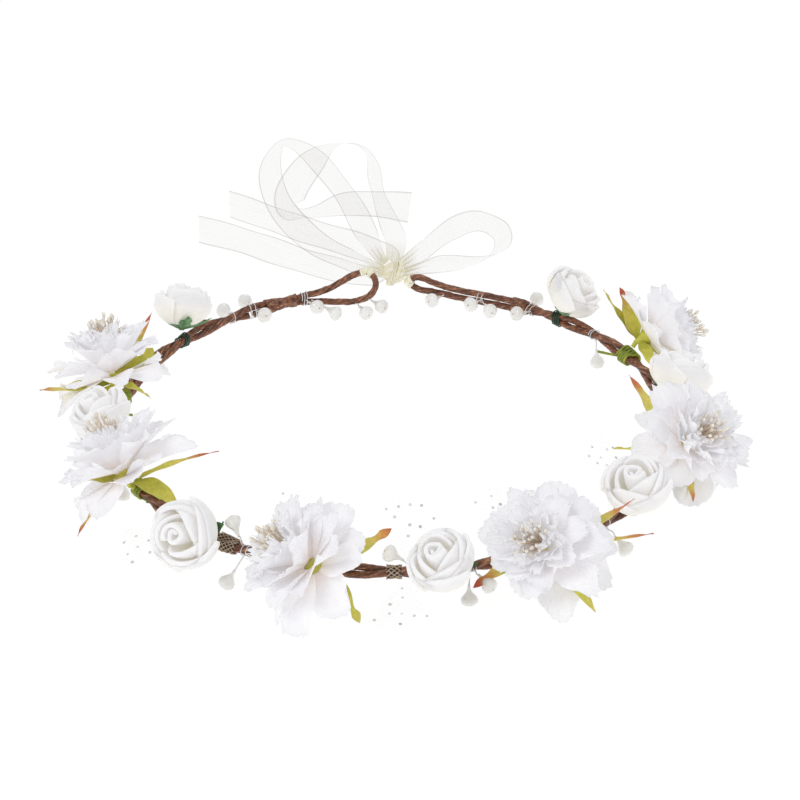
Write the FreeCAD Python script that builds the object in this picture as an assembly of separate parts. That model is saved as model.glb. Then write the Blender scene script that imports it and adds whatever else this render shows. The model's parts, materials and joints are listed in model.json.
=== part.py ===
import FreeCAD, Part

import math
import os

from FreeCAD import Rotation, Vector

# Flower crown, in millimetres. The ring lies flat, +Z is up and -Y is the front of the head.
# The origin is the ring's centre, on the surface that the crown rests on.
# An azimuth is measured round the ring in degrees: 0 is the front, 90 the wearer's left side (+X),
# 180 the back, where the ribbon ties the two ends, and 270 the other side.

RING_R = 96.0            # from the ring's centre to the middle of the vine
VINE_Z = 14.0            # height of the vine's middle above the table
STRAND_R = 1.2           # a strand of paper-covered wire
CORE_R = 0.45            # the steel wire inside it
TWIST_R = 1.4            # from the vine's middle to each strand's middle
LEFT_TWIST_AZ = 200.0    # the twisted stretch begins here and runs through 270, 360 (front) and 450
RIGHT_TWIST_AZ = 515.0
TWIST_TURNS = 10.5
TWIST_STEP = 4.0         # azimuth between two points of a strand's path
LEFT_TAIL_AZ = 213.0     # the long strand's doubled-back ends stop here, and the short strand takes over
RIGHT_TAIL_AZ = 511.0
STRAND_END_GAP = 1.2     # azimuth left free between two strand ends that meet

WRAP_BORE_R = 2.75       # bindings and wraps pass round both strands
BINDING_R = 3.4
WRAP_WIRE_R = 0.5

ROSE_R = 11.5
ROSE_HEIGHT = 15.0
CALYX_HEIGHT = 2.8
PETAL_R = 23.0           # rim of a silk flower's outer petals
SEPAL_LENGTH = 26.0
SEPAL_WIDTH = 5.0
CLOTH = 0.6              # thickness of leaves, ribbon and net as solids

BERRY_R = 2.6
BERRY_LENGTH = 7.5
BERRY_WIRE_R = 0.35
BERRY_REST = 0.3         # a leaning berry's tip reaches this much lower than its axis does

RIBBON_WIDTH = 12.0
GATHERED_WIDTH = 3.0     # where the ribbon enters the knot
GATHER_REACH = 18.0      # how far from the knot it is flat again
KNOT = Vector(0, 100.5, 19.2)
KNOT_R = 4.2
KNOT_LENGTH = 8.2

# Each head: azimuth of its foot, how far the foot is out from and above the vine's middle,
# its axis as (along the ring, outward, up), and for a silk flower the turn of its sepals.
ROSES = {
    "rose_back_left": (233, 0.6, 4.0, (-0.43, 0.26, 0.86)),
    "rose_left": (279, 1.6, 3.6, (-0.1, 0.42, 0.86)),
    "rose_front_left": (321, 3.4, 2.6, (0.13, 0.88, 0.45)),
    "rose_front": (10.5, 4.8, 0.2, (-0.39, 0.30, 0.87)),
    "rose_front_right": (54.5, 4.6, 2.6, (-0.36, 0.02, 0.93)),
    "rose_right": (96, 2.0, 3.5, (0.34, 0.36, 0.86)),
    "rose_back_right": (141, -1.2, 4.8, (-0.55, 0.35, 0.72)),
}
FLOWERS = {
    "flower_left": (299, 4.4, 3.2, (-0.38, 0.32, 0.87), 16),
    "flower_front_left": (347, 5.6, 1.2, (-0.45, 0.40, 0.80), 18),
    "flower_front_right": (29.8, 6.0, 2.8, (-0.45, 0.40, 0.79), 18),
    "flower_right": (75, 3.8, 3.8, (-0.34, 0.54, 0.77), 36),
    "flower_back_right": (118.5, 2.8, 5.0, (-0.18, 0.87, 0.40), 0),
    "flower_back_left": (262, 2.8, 4.8, (-0.32, 0.30, 0.89), 48),
}

# Each pip berry: azimuth, its direction from the vine as (along the ring, outward, up), the length
# of its wire, and how far the wire's foot is shifted out and up where it grows on an eyelet.
# A wire of None is as long as it takes for the berry to rest on the table.
BERRIES = {
    "berries_back_left": [
        (212.3, (0.15, -0.9, 0.25), 1.4), (213.4, (-0.3, 1.0, -0.1), 1.4), (218.0, (-0.2, 1.0, -0.2), 1.2),
        (200.5, (-0.2, -1.0, 0.1), 1.2), (199.5, (-0.55, -0.75, -0.2), 4.5),
        (189.5, (-0.4, -0.9, -0.1), 1.4, -5.0, -1.2), (186.4, (-0.4, -0.6, 0.0), 1.4, -5.0, 0.0),
    ],
    "berries_back_right": [
        (168.5, (0.4, -0.8, 0.1), 1.4, 1.0, -0.8), (159.5, (0.2, -0.95, 0.2), 1.6),
        (160.5, (-0.6, -0.75, 0.0), 2.2), (148.2, (0.3, 1.0, -0.1), 1.6), (147.0, (0.2, -0.8, 0.2), 1.6),
        (129.9, (0.0, 0.1, -1.0), None),
    ],
    "berries_front_left": [
        (329.7, (-0.5, -0.1, 0.95), 1.6), (330.4, (-0.4, 0.3, -0.85), None), (4.2, (-0.85, 0.1, 0.6), 3.0, 0.1, 2.2),
        (288.0, (0.0, 0.1, -1.0), None),
    ],
    "berries_front_right": [
        (14.6, (0.0, 0.15, -0.95), None), (15.0, (0.4, 0.8, -0.3), 1.2), (46.0, (0.2, 0.9, -0.75), 3.0),
        (66.0, (0.1, 1.0, -0.3), 2.0),
    ],
}

# Each dotted-net fan: azimuth, and its middle direction as (along the ring, outward, up).
NET_FANS = [
    (337.5, (0.1, -0.8, 0.6)), (315.5, (-0.6, 0.7, -0.4)), (3.6, (0.0, -0.7, 0.7)),
    (3.2, (-0.2, 0.95, -0.3)), (60, (-0.1, -0.8, 0.6)), (24.5, (0.1, -0.8, 0.6)),
]
NET_FAN_R = 25.0
NET_FAN_FOOT_R = 4.6
NET_FAN_HALF_DEG = 26

# Ribbon strips: points down the middle, each with the direction across the ribbon.
RIBBONS = {
    "bow_loop_left": [
        ((-3.6, 101.6, 22.4), (-0.2, -0.9, 0.1)), ((-9, 105.5, 30), (-0.6, -0.8, 0.1)),
        ((-18, 119, 42.5), (-0.7, -0.6, 0.2)), ((-31, 133, 52.5), (-0.5, -0.9, 0.1)),
        ((-42, 140, 54), (0.2, -1.0, 0.2)), ((-47, 134, 46), (0.7, -0.5, 0.5)),
        ((-42.5, 122.5, 35), (0.7, -0.2, 0.7)), ((-31, 113.5, 26.5), (0.4, -0.2, 0.9)),
        ((-17, 107, 21.5), (0.2, -0.3, 0.9)), ((-3.8, 102, 19), (0.1, -0.3, 0.9)),
    ],
    "bow_loop_right": [
        ((3.2, 103.6, 21.5), (-0.2, -0.4, 0.9)), ((12, 112, 24), (-0.2, -0.4, 0.9)),
        ((22, 121, 27), (-0.1, -0.3, 1.0)), ((32, 126, 28), (0.1, -0.4, 0.9)),
        ((40, 122.5, 25.5), (0.5, -0.5, 0.7)), ((40, 115, 21.5), (0.6, -0.6, 0.6)),
        ((30, 110, 18.8), (0.3, -0.6, 0.7)), ((15, 109, 18.3), (0.1, -0.5, 0.9)),
        ((3.8, 103.2, 18.2), (0.0, -0.4, 0.9)),
    ],
    "curled_tail": [
        ((-0.4, 103.3, 22.6), (-1.0, 0.0, 0.2)), ((0.6, 111, 28.5), (-0.8, -0.3, 0.4)),
        ((-3.5, 122.5, 34.5), (-0.6, -0.5, 0.5)), ((-7, 134, 39.5), (-0.5, -0.6, 0.6)),
        ((-8.5, 143, 45.5), (-0.3, -0.7, 0.6)), ((-14, 150, 48.5), (-0.1, -0.9, 0.4)),
        ((-23, 152, 47.5), (0.2, -0.9, 0.3)), ((-33, 150, 40), (0.7, -0.6, -0.2)),
        ((-40, 146, 30), (0.8, -0.1, -0.4)), ((-39, 144.5, 23), (0.6, 0.6, -0.2)),
        ((-31, 144.5, 22.5), (0.1, 1.0, 0.0)), ((-19, 144.5, 26), (-0.2, 0.9, 0.3)),
        ((-6, 143, 27), (0.0, 0.8, 0.5)), ((6, 141, 26.5), (0.0, 0.6, 0.8)),
    ],
    "long_tail": [
        ((-3.6, 105.0, 17.4), (0.0, -0.5, 0.8)), ((-10.5, 112, 12.9), (-0.3, -0.2, 0.9)),
        ((-20, 122, 9), (-0.1, -0.2, 1.0)), ((-34, 133, 7), (0.0, -0.1, 1.0)),
        ((-48, 144, 6.6), (0.0, 0.0, 1.0)), ((-62, 154, 6.6), (0.0, 0.0, 1.0)),
        ((-77, 162, 6.6), (0.0, 0.0, 1.0)),
    ],
    "short_tail": [
        ((2.4, 105.2, 17.8), (0.0, -0.2, 1.0)), ((0.5, 117, 15.6), (0.0, 0.0, 1.0)),
        ((-13, 136, 12), (0.0, 0.0, 1.0)), ((-32, 155, 8.8), (0.0, 0.0, 1.0)),
        ((-50, 171, 7), (0.0, 0.0, 1.0)), ((-66, 184, 6.6), (0.0, 0.0, 1.0)),
    ],
}
RIBBON_STEPS = 3         # sections between two points of a ribbon


# ---- places round the ring ----------------------------------------------------------------

def ring_axes(azimuth):
    """The directions along the ring, outward and up at an azimuth."""
    a = math.radians(azimuth)
    return Vector(math.cos(a), math.sin(a), 0), Vector(math.sin(a), -math.cos(a), 0), Vector(0, 0, 1)


def ring_point(azimuth, out=0.0, up=0.0):
    along, outward, upward = ring_axes(azimuth)
    return outward * (RING_R + out) + upward * (VINE_Z + up)


def ring_direction(azimuth, parts):
    along, outward, upward = ring_axes(azimuth)
    return (along * parts[0] + outward * parts[1] + upward * parts[2]).normalize()


def placed(shape, foot, axis, side):
    """A shape made along +Z from the origin, stood at foot along axis, with its X towards side."""
    z = Vector(axis).normalize()
    x = (side - z * side.dot(z)).normalize()
    return shape.transformed(FreeCAD.Placement(foot, Rotation(x, z.cross(x), z, "ZXY")).toMatrix())


def turned(profile):
    """The solid that a closed (radius, height) outline makes when it is turned about Z."""
    points = [Vector(r, 0, z) for r, z in profile]
    face = Part.Face(Part.makePolygon(points + points[:1]))
    return face.revolve(Vector(0, 0, 0), Vector(0, 0, 1), 360)


def only_solid(shape):
    """The one solid of a boolean's result, with its seams merged."""
    solids = shape.removeSplitter().Solids
    if len(solids) != 1:
        raise ValueError(f"expected one solid, not {len(solids)}")
    return solids[0]


# ---- paths of straight runs and tangent arcs ----------------------------------------------

def rounded_path(points):
    """A wire of straight runs joined by tangent arcs, each as large as its two runs allow."""
    edges, start = [], points[0]
    for before, corner, after in zip(points, points[1:], points[2:]):
        back, ahead = before - corner, after - corner
        half_turn = (math.pi - back.getAngle(ahead)) / 2
        cut = 0.45 * min(back.Length, ahead.Length)
        radius = cut / math.tan(half_turn)
        back.normalize()
        ahead.normalize()
        middle = (back + ahead).normalize()
        first, last = corner + back * cut, corner + ahead * cut
        top = corner + middle * (radius / math.cos(half_turn) - radius)
        edges += [Part.LineSegment(start, first).toShape(), Part.Arc(first, top, last).toShape()]
        start = last
    edges.append(Part.LineSegment(start, points[-1]).toShape())
    return Part.Wire(edges)


def rod(path, radius):
    """A round rod along a path."""
    edge = path.Edges[0]
    start, direction = edge.valueAt(edge.FirstParameter), edge.tangentAt(edge.FirstParameter)
    return path.makePipe(Part.Face(Part.Wire(Part.makeCircle(radius, start, direction)))).Solids[0]


def tube(path, inner, outer):
    """A round tube along a path."""
    return only_solid(rod(path, outer).cut(rod(path, inner)))


# ---- the vine -----------------------------------------------------------------------------

def twist_point(azimuth, side):
    """A point of a strand in the twisted stretch. side is 1 for the long strand, -1 for the other."""
    share = (azimuth - LEFT_TWIST_AZ) / (RIGHT_TWIST_AZ - LEFT_TWIST_AZ)
    phase = -math.pi / 2 + 2 * math.pi * TWIST_TURNS * share
    return ring_point(azimuth, side * TWIST_R * math.cos(phase), side * TWIST_R * math.sin(phase))


def twisted(first, last, side):
    steps = max(2, round(abs(last - first) / TWIST_STEP))
    return [twist_point(first + (last - first) * i / steps, side) for i in range(steps + 1)]


# (azimuth, out, up) round the eyelet that the long strand makes at each end of the ring
LEFT_EYELET = [
    (196.5, 0.2, 1.6), (193.0, 1.6, 2.8), (189.0, 4.0, 5.4), (185.6, 3.8, 7.0), (183.8, 0.0, 4.6),
    (184.8, -4.2, 1.2), (188.2, -5.6, -0.8), (192.5, -4.0, -1.4), (196.5, -1.2, -1.6),
]
RIGHT_EYELET = [
    (520.5, 0.2, 1.5), (526.0, 0.6, 1.6), (531.0, 1.8, 2.8), (535.0, 3.6, 4.9), (537.2, 4.2, 2.0),
    (535.0, 3.2, -0.9), (531.0, 1.6, -0.5), (525.5, 0.3, -1.3), (520.0, 0.0, -1.6),
]
LEFT_TIP, RIGHT_TIP = 3, 4      # the eyelet points where the ribbon is hitched on


def long_strand_points():
    left_tail = twisted(LEFT_TAIL_AZ, LEFT_TWIST_AZ, -1)
    main = twisted(LEFT_TWIST_AZ, RIGHT_TWIST_AZ, 1)
    right_tail = twisted(RIGHT_TWIST_AZ, RIGHT_TAIL_AZ, -1)
    left = [ring_point(*p) for p in LEFT_EYELET]
    right = [ring_point(*p) for p in RIGHT_EYELET]
    return left_tail + left + main + right + right_tail


def short_strand_points():
    return twisted(LEFT_TAIL_AZ + STRAND_END_GAP, RIGHT_TAIL_AZ - STRAND_END_GAP, -1)


def make_vine():
    nodes = {}
    for name, points in (("long_strand", long_strand_points()), ("short_strand", short_strand_points())):
        path = rounded_path(points)
        nodes[f"{name}_core_wire"] = rod(path, CORE_R)
        nodes[f"{name}_paper"] = tube(path, CORE_R, STRAND_R)
    return nodes


def sleeve(azimuth, length, outer):
    profile = [(WRAP_BORE_R, -length / 2), (outer, -length / 2), (outer, length / 2), (WRAP_BORE_R, length / 2)]
    return placed(turned(profile), ring_point(azimuth), ring_axes(azimuth)[0], Vector(0, 0, 1))


def make_bindings():
    bindings = [(206, 12.0), (151, 6.0)]
    mesh_tapes = [(326, 8.0), (0.2, 5.0)]
    return {
        "eyelet_bindings": Part.makeCompound([sleeve(*tape, BINDING_R) for tape in bindings]),
        "mesh_tape_wraps": Part.makeCompound([sleeve(*tape, BINDING_R) for tape in mesh_tapes]),
    }


def coil(azimuth, turns):
    """Turns of wire round the vine, as one solid with a ridge for each turn."""
    pitch, bottom = 1.8 * WRAP_WIRE_R, -0.9 * WRAP_WIRE_R * turns
    valley, crest = WRAP_BORE_R + 0.45, WRAP_BORE_R + 2 * WRAP_WIRE_R
    inner = [Vector(valley, 0, bottom + turns * pitch), Vector(WRAP_BORE_R, 0, bottom + turns * pitch),
             Vector(WRAP_BORE_R, 0, bottom), Vector(valley, 0, bottom)]
    edges = [Part.LineSegment(a, b).toShape() for a, b in zip(inner, inner[1:])]
    for turn in range(turns):
        low, high = bottom + turn * pitch, bottom + (turn + 1) * pitch
        arc = Part.Arc(Vector(valley, 0, low), Vector(crest, 0, (low + high) / 2), Vector(valley, 0, high))
        edges.append(arc.toShape())
    ring = Part.Face(Part.Wire(edges)).revolve(Vector(0, 0, 0), Vector(0, 0, 1), 360)
    return placed(ring, ring_point(azimuth), ring_axes(azimuth)[0], Vector(0, 0, 1))


def make_coils():
    rose_coils = [coil(spec[0], 3) for spec in ROSES.values()]
    flower_coils = [coil(spec[0], 6) for spec in FLOWERS.values()]
    return {
        "rose_binding_wires": Part.makeCompound(rose_coils),
        "flower_stem_coils": Part.makeCompound(flower_coils),
    }


# ---- flower heads -------------------------------------------------------------------------

def foot_of(azimuth, out, up, axis):
    """A head's foot, its axis, and the outward direction that its X is turned to."""
    return ring_point(azimuth, out, up), ring_direction(azimuth, axis), ring_axes(azimuth)[1]


def sepal(turn, length, width, rise):
    """A pointed leaf that leaves the foot of a head sideways, rising by rise over its length."""
    half = width / 2
    sides = [
        Part.Arc(Vector(1, 0, 0), Vector(length * 0.45, half, 0), Vector(length, 0, 0)),
        Part.Arc(Vector(length, 0, 0), Vector(length * 0.45, -half, 0), Vector(1, 0, 0)),
    ]
    leaf = Part.Face(Part.Wire([s.toShape() for s in sides])).extrude(Vector(0, 0, CLOTH))
    leaf.rotate(Vector(0, 0, 0), Vector(0, 1, 0), -math.degrees(math.atan2(rise, length)))
    leaf.rotate(Vector(0, 0, 0), Vector(0, 0, 1), turn)
    return leaf


def make_rose(spec):
    foot, axis, side = foot_of(*spec)
    base, r = CALYX_HEIGHT, ROSE_R
    cup = turned([(0, 0.2), (0.8, 0.2), (2.0, 1.2), (4.6, base - 0.4), (4.6, base), (0, base)])
    for i in range(5):
        cup = cup.fuse(sepal(72 * i, 10, 5, 4.2))
    petals = turned([(0, base), (4.6, base), (8.6, base + 2.4), (r - 0.6, base + 5.6), (r, base + 8.6),
                     (r - 1.2, base + 12), (r - 3.6, base + 13.6), (6.4, base + 10), (0, base + 9)])
    bud = turned([(0, base + 9), (6.4, base + 10), (6.2, base + ROSE_HEIGHT - 2),
                  (4.2, base + ROSE_HEIGHT - 0.4), (0, base + ROSE_HEIGHT)])
    made = {"calyx": only_solid(cup), "petals": petals, "bud": bud}
    return {part: placed(shape, foot, axis, side) for part, shape in made.items()}


def make_flower(spec):
    azimuth, out, up, axis, turn = spec
    foot, axis, side = foot_of(azimuth, out, up, axis)
    calyx = turned([(0, 0), (1.4, 0), (1.6, 2.0), (4.6, 5.0), (4.6, 5.4), (0, 5.4)])
    for i in range(5):
        leaf = sepal(72 * i + turn, SEPAL_LENGTH, SEPAL_WIDTH, 7.2)
        leaf.translate(Vector(0, 0, 2.9))
        calyx = calyx.fuse(leaf)
    calyx = placed(only_solid(calyx), foot, axis, side)
    outer = turned([(0, 5.4), (4.6, 5.4), (PETAL_R - 0.4, 12), (PETAL_R, 13.4), (10, 9.6), (0, 8)])
    inner = turned([(0, 8), (10, 9.6), (12.4, 11.2), (16, 21.4), (15, 22.6), (9, 14), (5, 11), (2, 10.4),
                    (0, 10.4)])
    stamens = turned([(0, 10.4), (1.6, 10.4), (4.4, 22), (3, 24), (0, 24.4)])
    made = {"outer_petals": outer, "inner_petals": inner, "stamens": stamens}
    parts = {part: placed(shape, foot, axis, side) for part, shape in made.items()}
    parts["calyx"] = only_solid(calyx.fuse(flower_stem(azimuth, foot)))
    return parts


def flower_stem(azimuth, foot):
    """The short wire from the coil round the vine to a silk flower's foot."""
    along = ring_axes(azimuth)[0]
    centre = ring_point(azimuth)
    spoke = foot - centre
    spoke = spoke - along * spoke.dot(along)
    direction = Vector(spoke).normalize()
    start = WRAP_BORE_R + 2 * WRAP_WIRE_R + 0.15
    return Part.makeCylinder(0.8, spoke.Length - start + 0.5, centre + direction * start, direction)


# ---- berries and net ----------------------------------------------------------------------

def make_berry(azimuth, direction, wire_length, out=0.0, up=0.0):
    """A berry and its wire."""
    axis = ring_direction(azimuth, direction)
    bare = WRAP_BORE_R + 0.2 if not out else STRAND_R + 0.5
    foot = ring_point(azimuth, out, up) + axis * bare
    if wire_length is None:
        wire_length = (foot.z - BERRY_REST) / -axis.z - BERRY_LENGTH
    wire = Part.makeCylinder(BERRY_WIRE_R, wire_length, foot, axis)
    outline = [(0, 0), (0.6, 0), (0.9, BERRY_LENGTH * 0.3), (BERRY_R * 0.86, BERRY_LENGTH * 0.52),
               (BERRY_R, BERRY_LENGTH * 0.7), (BERRY_R * 0.8, BERRY_LENGTH * 0.9),
               (BERRY_R * 0.3, BERRY_LENGTH), (0, BERRY_LENGTH)]
    return wire, placed(turned(outline), foot + axis * wire_length, axis, Vector(0.3, 0.2, 0.9))


def make_berries():
    nodes, wires = {}, []
    for name, berries in BERRIES.items():
        made = [make_berry(*berry) for berry in berries]
        wires += [wire for wire, _ in made]
        nodes[name] = Part.makeCompound([berry for _, berry in made])
    nodes["berry_wires"] = Part.makeCompound(wires)
    return nodes


def make_net():
    """Flat fans of dotted net that stand out from the vine behind and below three of the roses."""
    fans = []
    half = math.radians(NET_FAN_HALF_DEG)

    def at(radius, angle):
        return Vector(radius * math.sin(angle), 0, radius * math.cos(angle))

    for azimuth, direction in NET_FANS:
        edges = [
            Part.Arc(at(NET_FAN_R, -half), at(NET_FAN_R, 0), at(NET_FAN_R, half)).toShape(),
            Part.LineSegment(at(NET_FAN_R, half), at(NET_FAN_FOOT_R, half)).toShape(),
            Part.Arc(at(NET_FAN_FOOT_R, half), at(NET_FAN_FOOT_R, 0), at(NET_FAN_FOOT_R, -half)).toShape(),
            Part.LineSegment(at(NET_FAN_FOOT_R, -half), at(NET_FAN_R, -half)).toShape(),
        ]
        fan = Part.Face(Part.Wire(edges)).extrude(Vector(0, CLOTH, 0))
        fans.append(placed(fan, ring_point(azimuth), ring_direction(azimuth, direction), ring_axes(azimuth)[0]))
    return {"dotted_net": Part.makeCompound(fans)}


# ---- ribbon -------------------------------------------------------------------------------

def blended(values, i, t):
    """A smooth curve through a list of vectors, at share t of the way from entry i to i + 1."""
    before, a, b, after = values[max(i - 1, 0)], values[i], values[i + 1], values[min(i + 2, len(values) - 1)]
    return (a * 2 + (b - before) * t + (before * 2 - a * 5 + b * 4 - after) * (t * t)
            + (a * 3 - before - b * 3 + after) * (t * t * t)) * 0.5


def strip(points):
    """A ribbon as one solid, lofted through flat sections that lie square to its middle line."""
    middles, widths = [Vector(*p) for p, _ in points], [Vector(*w) for _, w in points]
    shares = [(i, k / RIBBON_STEPS) for i in range(len(points) - 1) for k in range(RIBBON_STEPS)]
    shares.append((len(points) - 2, 1.0))
    line = [blended(middles, i, t) for i, t in shares]
    across = [blended(widths, i, t) for i, t in shares]
    sections = []
    for k, (middle, width) in enumerate(zip(line, across)):
        forward = (line[min(k + 1, len(line) - 1)] - line[max(k - 1, 0)]).normalize()
        flatness = min(1.0, (middle - KNOT).Length / GATHER_REACH)
        half_width = (GATHERED_WIDTH + (RIBBON_WIDTH - GATHERED_WIDTH) * flatness) / 2
        side = (width - forward * width.dot(forward)).normalize() * half_width
        face = forward.cross(side).normalize() * (CLOTH / 2)
        corners = [middle + side + face, middle - side + face, middle - side - face, middle + side - face]
        sections.append(Part.makePolygon(corners + corners[:1]))
    return Part.makeLoft(sections, True, True).Solids[0]


def make_hitch(eyelet, tip):
    """The ribbon's turn round an eyelet's wire, swept along the wire at its tip."""
    bend = rounded_path([ring_point(*eyelet[i]) for i in (tip - 1, tip, tip + 1)]).Edges[1]
    return tube(Part.Wire([bend]), STRAND_R, STRAND_R + CLOTH)


def make_bow():
    half, r = KNOT_LENGTH / 2, KNOT_R
    knot = turned([(0, -half), (r * 0.6, -half), (r * 0.92, -half * 0.72), (r, -half * 0.3), (r * 0.9, 0),
                   (r, half * 0.3), (r * 0.92, half * 0.72), (r * 0.6, half), (0, half)])
    knot = placed(knot, KNOT, Vector(1, 0, 0), Vector(0, 0, 1))
    nodes = {name: only_solid(strip(points).cut(knot)) for name, points in RIBBONS.items()}
    nodes["bow_knot"] = knot
    nodes["ribbon_hitches"] = Part.makeCompound([
        make_hitch(LEFT_EYELET, LEFT_TIP), make_hitch(RIGHT_EYELET, RIGHT_TIP)])
    return nodes


# ---- everything ---------------------------------------------------------------------------

def make_parts():
    """{node name: its shape}"""
    nodes = {**make_vine(), **make_bindings(), **make_coils(), **make_berries(), **make_net(), **make_bow()}
    rose_calyxes = []
    for name, spec in ROSES.items():
        rose = make_rose(spec)
        rose_calyxes.append(rose["calyx"])
        nodes[f"{name}_petals"] = rose["petals"]
        nodes[f"{name}_bud"] = rose["bud"]
    nodes["rose_calyxes"] = Part.makeCompound(rose_calyxes)
    for name, spec in FLOWERS.items():
        for part, shape in make_flower(spec).items():
            nodes[f"{name}_{part}"] = shape
    return nodes


def main():
    os.makedirs("parts", exist_ok=True)
    for name, shape in make_parts().items():
        shape.exportStep(f"parts/{name}.step")


if __name__ == "__main__":
    main()
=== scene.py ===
import json
import math
import random

import bpy
import numpy as np
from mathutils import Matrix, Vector, noise

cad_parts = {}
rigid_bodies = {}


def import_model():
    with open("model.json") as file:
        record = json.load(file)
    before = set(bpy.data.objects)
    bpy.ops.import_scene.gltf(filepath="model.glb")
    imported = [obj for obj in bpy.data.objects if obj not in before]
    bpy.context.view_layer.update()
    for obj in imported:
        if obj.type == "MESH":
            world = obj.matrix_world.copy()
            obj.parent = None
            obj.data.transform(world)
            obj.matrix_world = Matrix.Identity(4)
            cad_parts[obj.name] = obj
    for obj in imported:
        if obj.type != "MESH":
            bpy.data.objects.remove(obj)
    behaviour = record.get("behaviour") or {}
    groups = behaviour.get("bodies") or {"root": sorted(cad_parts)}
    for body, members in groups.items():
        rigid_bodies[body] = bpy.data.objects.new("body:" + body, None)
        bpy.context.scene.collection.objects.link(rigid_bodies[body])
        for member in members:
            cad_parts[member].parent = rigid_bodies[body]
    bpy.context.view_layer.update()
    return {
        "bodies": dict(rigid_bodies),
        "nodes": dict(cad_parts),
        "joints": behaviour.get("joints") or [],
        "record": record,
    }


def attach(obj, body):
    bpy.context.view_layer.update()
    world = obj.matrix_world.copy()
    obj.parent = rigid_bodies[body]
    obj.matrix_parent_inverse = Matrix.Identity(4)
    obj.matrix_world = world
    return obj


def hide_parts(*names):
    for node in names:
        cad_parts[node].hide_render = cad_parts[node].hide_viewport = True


# The looks of a flower crown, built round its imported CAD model. Lengths are in millimetres until a
# mesh is made. +Z is up and -Y is the front. An azimuth is measured round the ring in degrees: 0 is
# the front, 90 is +X and 180 the back, where the bow is.

MM = 0.001
RING_R = 96.0            # the ring, its two twisted strands and their eyelets, as in the CAD model
VINE_Z = 14.0
STRAND_R = 1.2
TWIST_R = 1.4
LEFT_TWIST_AZ = 200.0
RIGHT_TWIST_AZ = 515.0
TWIST_TURNS = 10.5
TWIST_STEP = 4.0
LEFT_TAIL_AZ = 213.0
RIGHT_TAIL_AZ = 511.0
STRAND_END_GAP = 1.2
LEFT_EYELET = [          # azimuth, out from the ring, up from the vine's middle
    (196.5, 0.2, 1.6), (193.0, 1.6, 2.8), (189.0, 4.0, 5.4), (185.6, 3.8, 7.0), (183.8, 0.0, 4.6),
    (184.8, -4.2, 1.2), (188.2, -5.6, -0.8), (192.5, -4.0, -1.4), (196.5, -1.2, -1.6),
]
RIGHT_EYELET = [
    (520.5, 0.2, 1.5), (526.0, 0.6, 1.6), (531.0, 1.8, 2.8), (535.0, 3.6, 4.9), (537.2, 4.2, 2.0),
    (535.0, 3.2, -0.9), (531.0, 1.6, -0.5), (525.5, 0.3, -1.3), (520.0, 0.0, -1.6),
]
LEFT_TIP, RIGHT_TIP = 3, 4        # which point of each eyelet is nearest the knot

KNOT = np.array((0, 100.5, 19.2))
KNOT_R = 4.2
KNOT_LENGTH = 8.2
RIBBON_WIDTH = 12.0
GATHERED_WIDTH = 3.0
GATHER_REACH = 18.0

# Each head: azimuth of its foot, how far the foot is out from and above the vine's middle, and its
# axis as (along the ring, outward, up). A rose adds its size.
ROSES = {
    "rose_back_left": (233, 0.6, 4.0, (-0.43, 0.26, 0.86), 0.96),
    "rose_left": (279, 1.6, 3.6, (-0.1, 0.42, 0.86), 0.98),
    "rose_front_left": (321, 3.4, 2.6, (0.13, 0.88, 0.45), 1.08),
    "rose_front": (10.5, 4.8, 0.2, (-0.39, 0.30, 0.87), 1.0),
    "rose_front_right": (54.5, 4.6, 2.6, (-0.36, 0.02, 0.93), 1.0),
    "rose_right": (96, 2.0, 3.5, (0.34, 0.36, 0.86), 0.97),
    "rose_back_right": (141, -1.2, 4.8, (-0.55, 0.35, 0.72), 0.95),
}
# A silk flower adds the axis of its heart, which leans over further.
FLOWERS = {
    "flower_left": (299, 4.4, 3.2, (-0.38, 0.32, 0.87), (-0.50, 0.18, 0.85)),
    "flower_front_left": (347, 5.6, 1.2, (-0.45, 0.40, 0.80), (-0.74, 0.22, 0.64)),
    "flower_front_right": (29.8, 6.0, 2.8, (-0.45, 0.40, 0.79), (-0.62, 0.42, 0.66)),
    "flower_right": (75, 3.8, 3.8, (-0.34, 0.54, 0.77), (-0.40, 0.60, 0.70)),
    "flower_back_right": (118.5, 2.8, 5.0, (-0.18, 0.87, 0.40), (-0.34, 0.90, 0.26)),
    "flower_back_left": (262, 2.8, 4.8, (-0.32, 0.30, 0.89), (-0.34, 0.20, 0.92)),
}
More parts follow.
